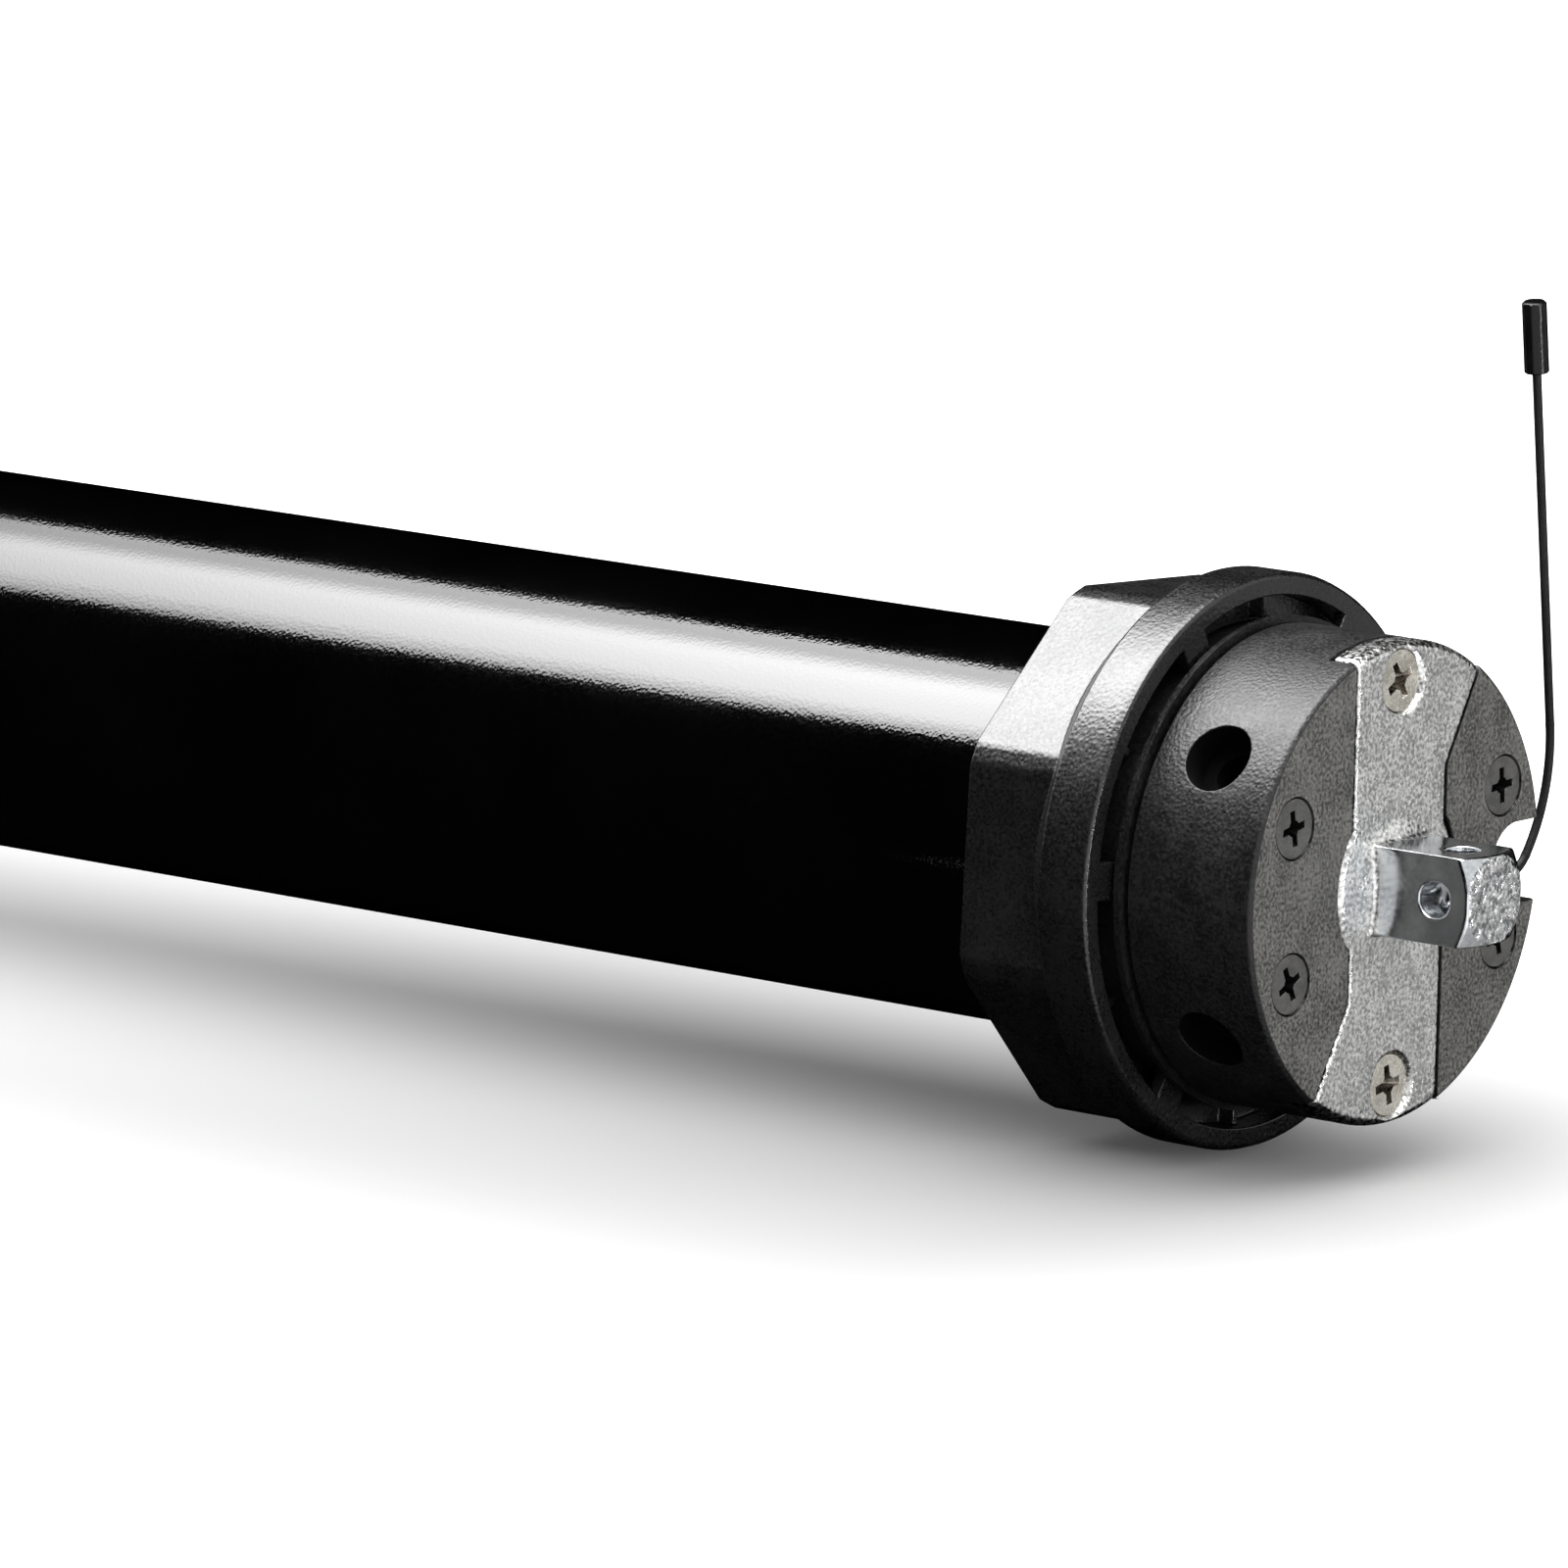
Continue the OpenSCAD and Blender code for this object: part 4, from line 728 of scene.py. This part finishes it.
@dataclass
class CrossScrew:
    """A kind of countersunk cross-head screw: modelled once, then copied to its places.

    Its sizes are in millimetres. The arms' width and the middle's radii are shares of the cross's span, and
    an arm's top and bottom are its length and width there, as shares of its own. A place is a screw's Y and
    Z, and its cross's turn in degrees.
    """

    motor: Motor
    node: str
    name: str
    finish: Finish
    # The finish of the cross's recess, which paints shade there.
    recess: Finish
    face_x: float
    head_d: float
    head_h: float
    shank_d: float
    length: float
    cross: float
    places: list[Point]
    rim: float = 0.25
    tip: float = 0.6
    depth: float = 1.5
    over: float = 0.1
    arm_width: float = 0.21
    arm_top: Span = (1.55, 1.3)
    arm_bottom: Span = (0.45, 0.7)
    middle: Point = (0.25, 0.235, 0.13)
    middle_sides: int = 16
    recess_reach: float = 0.52
    recess_facing: float = -0.02
    edge: float = 0.09
    edge_angle: float = 40.0
    edge_steps: int = 2
    sides: int = 64

    def build(self) -> None:
        """Models the screw and puts a copy in each place."""
        pattern = self.model()
        for number, (y, z, turn) in enumerate(self.places, 1):
            mesh = pattern.data.copy()
            mesh.transform(Matrix.Translation((self.face_x * MM, y * MM, z * MM))
                           @ Matrix.Rotation(math.radians(turn), 4, "X"))
            mesh.name = f"{self.name}_{number}"
            screw = bpy.data.objects.new(mesh.name, mesh)
            bpy.context.scene.collection.objects.link(screw)
            self.motor.stands_for(screw, self.node, self.finish, self.recess)
        bpy.data.objects.remove(pattern)

    def model(self) -> bpy.types.Object:
        """Turns the screw's body, sinks its cross, rounds the edges that show and paints shade in the
        cross's recess.

        Returns:
            The screw, with its head's face at X = 0.
        """
        head, shank, length = self.head_d / 2, self.shank_d / 2, self.length
        body = turned(self.name, [(0, head), (-self.rim, head), (-self.head_h, shank),
                                  (self.tip - length, shank), (-length, shank - self.tip)], self.sides)
        for turn in (0, 90):
            cut_away(body, self.arm(turn))
        middle = zip((self.over, 0, -self.depth), (self.cross * share for share in self.middle))
        cut_away(body, turned("cross_middle", list(middle), self.middle_sides))
        mark_edges(body.data, self.edge * MM, math.radians(self.edge_angle))
        round_marked(body, self.edge * MM, self.edge_steps)
        body.data.materials.append(self.finish.material(self.motor.look))
        body.data.materials.append(self.recess.material(self.motor.look))
        # Faces inside the cross get the recess finish, which is painted shade.
        for face in body.data.polygons:
            x, y, z = face.center / MM
            sunk = -self.depth - self.over < x < -self.over and face.normal.x > self.recess_facing
            if sunk and math.hypot(y, z) < self.cross * self.recess_reach:
                face.material_index = ScrewFace.SHADED_RECESS
        return body

    def arm(self, turn: float) -> bpy.types.Object:
        """Makes the cutter for two opposite arms of the cross, narrower and shorter at the bottom.

        Args:
            turn: Its angle about X, in degrees.

        Returns:
            The cutter.
        """
        deselect_all()
        bpy.ops.mesh.primitive_cube_add(size=1.0)
        arm = bpy.context.object
        arm.dimensions = (self.depth * 2 * MM, self.cross * MM, self.cross * self.arm_width * MM)
        bpy.ops.object.transform_apply(location=True, rotation=True, scale=True)
        for corner in arm.data.vertices:
            length, width = self.arm_bottom if corner.co.x < 0 else self.arm_top
            corner.co.y *= length
            corner.co.z *= width
        arm.data.transform(Matrix.Rotation(math.radians(turn), 4, "X"))
        return arm


@dataclass
class Head:
    """The head that shows: its bracket and pin, its cap, its screws and its antenna.

    Its sizes are in millimetres, and its turns about X are in degrees. An adjuster's hole is the cap's part
    within adjuster_room of the hole's axis, between the two distances of adjuster_reach from X.
    """

    motor: Motor
    cap_rounding: float = 0.2
    face_facing: float = 0.9
    face_depth: float = 0.5
    bracket_gap: float = 0.4
    bracket_screw_z: float = 22.6
    bracket_turns: Span = (28.0, 9.0)
    face_screw_y: float = 19.4
    face_screw_z: float = 8.6
    face_turns: tuple[float, float, float, float] = (9.0, 24.0, 4.0, 14.0)
    adjuster_x: float = 8.8
    adjuster_side: float = 180.0
    adjuster_angle: float = 35.7
    adjuster_reach: Span = (9.0, 26.5)
    adjuster_room: float = 4.3
    sleeve_rounding: float = 0.9
    wire_sheath: float = 0.09

    def build(self) -> None:
        """Builds the head's pieces."""
        Bracket(self.motor).build()
        cap = self.motor.rounded("head_cap", "cap_moulding", self.cap_rounding, CAP_MOULDING,
                                 bed="mounting_bracket", bed_room_mm=self.bracket_gap)
        self.paint_face_light_and_hole_shade(cap)
        self.motor.rounded("antenna_cap", "antenna_sleeve", self.sleeve_rounding, SOFT_CAP,
                           steps=4, sharp=50.0)
        whip = self.motor.fattened("antenna_wire", "antenna_whip", self.wire_sheath)
        bpy.ops.object.shade_smooth_by_angle(angle=math.radians(SMOOTH_ANGLE))
        self.motor.stands_for(whip, "antenna_wire", WIRE_SHEATH)
        y, z, turns = self.face_screw_y, self.face_screw_z, self.face_turns
        CrossScrew(self.motor, "cap_screws", "black_screw", LIT_BLACK_SCREW, HOLE_SHADE_MOULDING, face_x=-0.12,
                   head_d=6.6, head_h=2.0, shank_d=3.2, length=17.8, cross=4.1,
                   places=[(-y, z, turns[0]), (-y, -z, turns[1]),
                           (y, z, turns[2]), (y, -z, turns[3])]).build()
        z, turns = self.bracket_screw_z, self.bracket_turns
        CrossScrew(self.motor, "bracket_screws", "plated_screw", PLATED_SCREW, RECESS_SHADE_PLATING, face_x=-0.5,
                   head_d=6.9, head_h=2.2, shank_d=4.0, length=11.5, cross=4.5,
                   places=[(0, z, turns[0]), (0, -z, turns[1])]).build()

    def paint_face_light_and_hole_shade(self, cap: bpy.types.Object) -> None:
        """Gives the cap's face painted light, a lighter grey than its sides though it is the same plastic,
        with a coarser grain of its own, and its adjuster holes painted shade, a dull black.

        Args:
            cap: The cap's piece.
        """
        cap.data.materials.append(LIT_FACE_MOULDING.material(self.motor.look))
        cap.data.materials.append(HOLE_SHADE_MOULDING.material(self.motor.look))
        for face in cap.data.polygons:
            # Faces turned to the front get painted light.
            if face.normal.x > self.face_facing and face.center.x > -self.face_depth * MM:
                face.material_index = CapFace.FRONT
            # Faces inside an adjuster hole get painted shade.
            elif self.in_adjuster_hole(face.center):
                face.material_index = CapFace.SHADED_HOLE

    def in_adjuster_hole(self, point: Vector) -> bool:
        """Tells whether a point of the cap is inside one of its two adjuster holes.

        Args:
            point: The point, in metres.

        Returns:
            True inside a hole.
        """
        for side in (-1, 1):
            turn = math.radians(self.adjuster_side + side * self.adjuster_angle)
            way = Vector((0, math.cos(turn), math.sin(turn)))
            from_axis = point / MM + Vector((self.adjuster_x, 0, 0))
            along = from_axis.dot(way)
            near, far = self.adjuster_reach
            if near < along < far and (from_axis - way * along).length < self.adjuster_room:
                return True
        return False


@dataclass
class Crown:
    """The octagonal crown behind the head, with its rounding in millimetres."""

    motor: Motor
    rounding: float = 0.25

    def build(self) -> None:
        """Builds the crown."""
        self.motor.rounded("crown_ring", "crown_moulding", self.rounding, CROWN_MOULDING)


@dataclass
class Brake:
    """The brake's disc spring, which the plate presses flatter when it lets the rotor go.

    The plate's travel and the spring's fixed side are in millimetres; neither is used.
    """

    motor: Motor
    travel: float = 0.4
    fixed_x: float = -235.1

    def build(self) -> None:
        """Copies the spring and gives it a mesh of its own."""
        spring = self.motor.copied("brake_spring", "brake_disc_spring")
        bpy.ops.mesh.customdata_custom_splitnormals_clear()
        bpy.ops.object.shade_smooth_by_angle(angle=math.radians(SMOOTH_ANGLE))
        self.motor.stands_for(spring, "brake_spring", BRIGHT_STEEL)
        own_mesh(spring)


@dataclass
class FarEnd:
    """The drive wheel and its clip, at the end that the photograph leaves out, in millimetres."""

    motor: Motor
    wheel_rounding: float = 0.4
    clip_rounding: float = 0.2

    def build(self) -> None:
        """Builds the drive wheel and its clip."""
        self.motor.rounded("drive_wheel", "drive_wheel_moulding", self.wheel_rounding, CROWN_MOULDING)
        self.motor.rounded("drive_clip", "drive_clip_wire", self.clip_rounding, BRIGHT_STEEL)


@dataclass(frozen=True)
class Card:
    """A card bent round the motor's axis, which only reflections see.

    It reaches over a stretch of X, in metres, and over a turn about X, in degrees. Its glow is edge, and
    inside core_turn it is core, with a fade between them that is soft degrees wide. At its far end it has
    the share far of that glow.
    """

    name: str
    x: Span
    turn: Span
    edge: float = 0.0
    core: float = 0.0
    core_turn: Span = (0.0, 0.0)
    soft: float = 5.0
    far: float = 1.0
    radius: float = 0.5
    step: float = 2.0

    def glow(self, along: float, angle: float) -> float:
        """Gives the card's brightness at a point.

        Args:
            along: How far along the card's length, from 0 at its far end to 1.
            angle: The angle about X, in degrees.

        Returns:
            The brightness.
        """
        inside = min(angle - self.core_turn[0], self.core_turn[1] - angle) / self.soft + 0.5
        share = min(max(inside, 0.0), 1.0)
        share = share * share * (3 - 2 * share)
        return (self.edge + (self.core - self.edge) * share) * (self.far + (1 - self.far) * along)


@dataclass(frozen=True)
class Flag:
    """A flat card just over the floor, which only reflections see, in metres."""

    name: str
    x: Span
    y: Span
    light: float = 0.0
    rise: float = 0.0004


@dataclass(frozen=True)
class Fade:
    """A smooth change in the floor's painted light, from low at start to high at end, in metres."""

    start: float
    end: float
    low: float
    high: float


@dataclass(frozen=True)
class Lamp:
    """A square soft lamp: its place and the point that it faces, its side in metres, its power in watts."""

    name: str
    at: Point
    aim: Point
    size: float
    power: float


@dataclass
class Studio:
    """The floor, the lamps, the cards that the gloss reflects, and the camera, in metres.

    Three fades paint light on the floor: along the motor, lightening its shadow towards the far end, before
    its face, lightening the shadow there, and outwards over an oval round its shadow, taking the floor to
    white.
    The gleam is a small upright card, bright at its foot, that lights the antenna cap's edge.
    """

    look_dir: Vector = field(default_factory=lambda: Vector((-0.61838, 0.76639, -0.17394)))
    look_up: Vector = field(default_factory=lambda: Vector((-0.12574, 0.12200, 0.98453)))
    camera_at: Vector = field(default_factory=lambda: Vector((0.69991, -0.97516, 0.22139)))
    lens_mm: float = 254.75
    sensor_mm: float = 36.0
    sight: Span = (0.05, 30.0)
    room_light: float = 0.36
    floor_z: float = -0.033
    floor_size: float = 12.0
    floor_tone: Colour = (0.8, 0.8, 0.8)
    # Painted light on the floor: these fades lighten the motor's shadow along it and before its face, and
    # take the floor to white far from it.
    along_painted_light: Fade = Fade(-0.02, -0.285, 0.02, 0.46)
    front_painted_light: Fade = Fade(-0.017, 0.05, 0.0, 0.38)
    away_painted_light: Fade = Fade(0.04, 0.16, 0.0, 1.0)
    oval_scale: Point = (0.24, 1.0, 0.0)
    oval_shift: Point = (0.052, 0.021, 0.0)
    lamps: tuple[Lamp, ...] = (
        Lamp("overhead", (-0.15, -0.12, 0.9), (-0.15, 0, 0), 1.9, 10.4),
        Lamp("end_fill", (1.0, -0.15, 0.22), (0, 0, 0), 0.5, 3.6),
    )
    gleam: float = 120.0
    gleam_at: Span = (0.4, 0.05)
    gleam_size: Span = (0.045, 0.035)
    cards: tuple[Card, ...] = (
        Card("end_strip", (-1.9, -0.75), (73.0, 125.0), 3.4, 7.5, (88.0, 118.0), 6.0, 0.6),
        Card("far_strip", (-0.75, -0.42), (73.0, 125.0), 7.5, 17.0, (88.0, 121.0), 14.0, 0.42),
        Card("near_strip", (-0.42, 0.3), (73.0, 125.0), 7.5, 17.0, (88.0, 121.0), 14.0),
        Card("black_card", (-1.9, 0.22), (125.0, 433.0)),
    )
    flags: tuple[Flag, ...] = (
        Flag("tube_flag", (-1.9, 0.012), (-0.5, 0.5)),
        Flag("pin_flag", (-0.132, -0.11), (-0.2, -0.125), 0.4, 0.0008),
        Flag("face_flag", (0.012, 1.2), (-0.02, 1.2), 0.5),
        Flag("edge_flag", (0.04, 0.5), (-0.5, -0.02), 1.5),
    )

    def build(self) -> None:
        """Builds the whole studio."""
        self.camera()
        self.world()
        self.floor()
        for lamp in self.lamps:
            self._hang(lamp)
        self.stand_cards()
        log.info("studio: %d lamps, %d cards, %d flags", len(self.lamps), len(self.cards), len(self.flags))

    def world(self) -> None:
        """Makes the room: white to the camera and in reflections, softer as light."""
        world = bpy.data.worlds.new("studio")
        bpy.context.scene.world = world
        world.use_nodes = True
        nodes, links = world.node_tree.nodes, world.node_tree.links
        room = fill(nodes["Background"], {"Color": WHITE, "Strength": self.room_light})
        shown = fill(nodes.new("ShaderNodeBackground"), {"Color": WHITE})
        mix = nodes.new("ShaderNodeMixShader")
        links.new(self._seen(nodes, links), mix.inputs["Fac"])
        links.new(room.outputs["Background"], mix.inputs[1])
        links.new(shown.outputs["Background"], mix.inputs[2])
        links.new(mix.outputs["Shader"], nodes["World Output"].inputs["Surface"])

    @staticmethod
    def _seen(nodes: bpy.types.Nodes, links: bpy.types.NodeLinks) -> bpy.types.NodeSocket:
        """Adds up the rays that show a background: camera, glossy and transmission.

        Args:
            nodes: The tree's nodes.
            links: The tree's links.

        Returns:
            A socket that is 1 on those rays and 0 on others.
        """
        path = nodes.new("ShaderNodeLightPath")
        first = nodes.new("ShaderNodeMath")
        first.operation = "MAXIMUM"
        second = nodes.new("ShaderNodeMath")
        second.operation = "MAXIMUM"
        links.new(path.outputs["Is Camera Ray"], first.inputs[0])
        links.new(path.outputs["Is Glossy Ray"], first.inputs[1])
        links.new(first.outputs["Value"], second.inputs[0])
        links.new(path.outputs["Is Transmission Ray"], second.inputs[1])
        return second.outputs["Value"]

    def floor(self) -> None:
        """Lays the pale floor, whose painted light, seen by the camera alone, lightens the shadow and
        whitens the rest.
        """
        deselect_all()
        bpy.ops.mesh.primitive_plane_add(size=self.floor_size, location=(0, 0, self.floor_z))
        floor = bpy.context.object
        floor.name = "floor"
        paint = bpy.data.materials.new("floor_paint")
        paint.use_nodes = True
        nodes, links = paint.node_tree.nodes, paint.node_tree.links
        base = fill(nodes["Principled BSDF"], {
            "Base Color": (*self.floor_tone, 1.0),
            "Roughness": 1.0,
            "Specular IOR Level": 0.0,
        })
        # Painted light: an emission that the camera alone sees, lightening the floor and the shadow on it.
        painted_floor_light = fill(nodes.new("ShaderNodeEmission"), {"Color": WHITE})
        path = nodes.new("ShaderNodeLightPath")
        shown = nodes.new("ShaderNodeMath")
        shown.operation = "MULTIPLY"
        links.new(path.outputs["Is Camera Ray"], shown.inputs[0])
        links.new(self._painted_light_sum(nodes, links), shown.inputs[1])
        links.new(shown.outputs["Value"], painted_floor_light.inputs["Strength"])
        both = nodes.new("ShaderNodeAddShader")
        links.new(base.outputs["BSDF"], both.inputs[0])
        links.new(painted_floor_light.outputs["Emission"], both.inputs[1])
        links.new(both.outputs["Shader"], nodes["Material Output"].inputs["Surface"])
        floor.data.materials.append(paint)

    def _painted_light_sum(self, nodes: bpy.types.Nodes, links: bpy.types.NodeLinks) -> bpy.types.NodeSocket:
        """Adds up the floor's painted light: along the motor, before its face, and far from it.

        Args:
            nodes: The floor paint's nodes.
            links: The floor paint's links.

        Returns:
            A socket with the painted light.
        """
        place = nodes.new("ShaderNodeTexCoord")
        split = nodes.new("ShaderNodeSeparateXYZ")
        centred = nodes.new("ShaderNodeVectorMath")
        centred.operation = "MULTIPLY_ADD"
        centred.inputs[1].default_value = self.oval_scale
        centred.inputs[2].default_value = self.oval_shift
        away = nodes.new("ShaderNodeVectorMath")
        away.operation = "LENGTH"
        links.new(place.outputs["Object"], split.inputs["Vector"])
        links.new(place.outputs["Object"], centred.inputs[0])
        links.new(centred.outputs["Vector"], away.inputs[0])
        total = self._faded(nodes, links, split.outputs["X"], self.along_painted_light)
        for given, fade in ((split.outputs["X"], self.front_painted_light), (away.outputs["Value"], self.away_painted_light)):
            add = nodes.new("ShaderNodeMath")
            add.operation = "ADD"
            links.new(total, add.inputs[0])
            links.new(self._faded(nodes, links, given, fade), add.inputs[1])
            total = add.outputs["Value"]
        return total

    @staticmethod
    def _faded(nodes: bpy.types.Nodes, links: bpy.types.NodeLinks, given: bpy.types.NodeSocket,
               fade: Fade) -> bpy.types.NodeSocket:
        """Turns a distance into a share of the floor's painted light.

        Args:
            nodes: The floor paint's nodes.
            links: The floor paint's links.
            given: The socket with the distance.
            fade: How the lift changes with it.

        Returns:
            A socket with the share.
        """
        node = nodes.new("ShaderNodeMapRange")
        node.interpolation_type = "SMOOTHSTEP"
        fill(node, {"From Min": fade.start, "From Max": fade.end, "To Min": fade.low, "To Max": fade.high})
        links.new(given, node.inputs["Value"])
        return node.outputs["Result"]

    @staticmethod
    def _hang(lamp: Lamp) -> None:
        """Hangs one soft lamp. It lights the motor, and the cards do the reflections.

        Args:
            lamp: The lamp.
        """
        light = bpy.data.lights.new(lamp.name, "AREA")
        light.size = lamp.size
        light.energy = lamp.power
        held = bpy.data.objects.new(lamp.name, light)
        held.location = lamp.at
        held.rotation_euler = (Vector(lamp.aim) - Vector(lamp.at)).to_track_quat("-Z", "Y").to_euler()
        held.visible_glossy = False
        bpy.context.scene.collection.objects.link(held)

    def stand_cards(self) -> None:
        """Stands the bent cards, the flags and the gleam round the motor, for reflections only."""
        for card in self.cards:
            self._bent(card)
        for flag in self.flags:
            (x, far_x), (y, far_y), z = flag.x, flag.y, self.floor_z + flag.rise
            frame = [(x, y, z), (far_x, y, z), (far_x, far_y, z), (x, far_y, z)]
            self._shown_in_gloss(flag.name, frame, [(0, 1, 2, 3)], [flag.light] * 4)
        (x, y), (width, height), low = self.gleam_at, self.gleam_size, self.floor_z
        left, right, high = y - width / 2, y + width / 2, low + height
        frame = [(x, left, low), (x, right, low), (x, right, high), (x, left, high)]
        self._shown_in_gloss("cap_gleam", frame, [(0, 1, 2, 3)], [self.gleam, self.gleam, 0.0, 0.0])

    def _bent(self, card: Card) -> None:
        """Bends one card round the motor's axis.

        Args:
            card: The card.
        """
        start, end = card.turn
        steps = round((end - start) / card.step)
        points, glows = [], []
        for i in range(steps + 1):
            angle = start + (end - start) * i / steps
            turn = math.radians(angle)
            for along, x in enumerate(card.x):
                points.append((x, card.radius * math.cos(turn), card.radius * math.sin(turn)))
                glows.append(card.glow(along, angle))
        faces = [(2 * i, 2 * i + 1, 2 * i + 3, 2 * i + 2) for i in range(steps)]
        self._shown_in_gloss(card.name, points, faces, glows)

    @staticmethod
    def _shown_in_gloss(name: str, points: list[Point], faces: list[tuple[int, ...]],
                        glows: list[float]) -> None:
        """Makes a glowing sheet that only glossy rays see.

        Args:
            name: The sheet's name.
            points: Its corners.
            faces: Its faces, as numbers of corners.
            glows: The brightness at each corner.
        """
        mesh = bpy.data.meshes.new(name)
        mesh.from_pydata(points, [], faces)
        level = mesh.attributes.new("glow", "FLOAT", "POINT")
        level.data.foreach_set("value", glows)
        sheet = bpy.data.objects.new(name, mesh)
        bpy.context.scene.collection.objects.link(sheet)
        paint = bpy.data.materials.new(name)
        paint.use_nodes = True
        nodes, links = paint.node_tree.nodes, paint.node_tree.links
        read = nodes.new("ShaderNodeAttribute")
        read.attribute_name = "glow"
        glow = fill(nodes.new("ShaderNodeEmission"), {"Color": WHITE})
        links.new(read.outputs["Fac"], glow.inputs["Strength"])
        links.new(glow.outputs["Emission"], nodes["Material Output"].inputs["Surface"])
        mesh.materials.append(paint)
        sheet.visible_camera = False
        sheet.visible_diffuse = False
        sheet.visible_shadow = False
        sheet.visible_transmission = False
        sheet.visible_volume_scatter = False

    def camera(self) -> None:
        """Sets the camera up where the photograph was taken from."""
        lens = bpy.data.cameras.new("camera")
        lens.lens = self.lens_mm
        lens.sensor_width = self.sensor_mm
        lens.clip_start, lens.clip_end = self.sight
        camera = bpy.data.objects.new("camera", lens)
        ahead = self.look_dir.normalized()
        right = ahead.cross(self.look_up).normalized()
        up = right.cross(ahead)
        turn = Matrix((right, up, -ahead)).transposed().to_4x4()
        camera.matrix_world = Matrix.Translation(self.camera_at) @ turn
        bpy.context.scene.collection.objects.link(camera)
        bpy.context.scene.camera = camera


def main() -> None:
    """Loads the frame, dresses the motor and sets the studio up."""
    logging.basicConfig(level=logging.INFO, format="%(message)s")
    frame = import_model()
    bpy.context.scene.view_settings.view_transform = "Standard"
    motor = Motor(frame, Look())
    motor.dress_nodes()
    for part in (Head(motor), Crown(motor), Brake(motor), FarEnd(motor), Studio()):
        part.build()


if __name__ == "__main__":
    main()
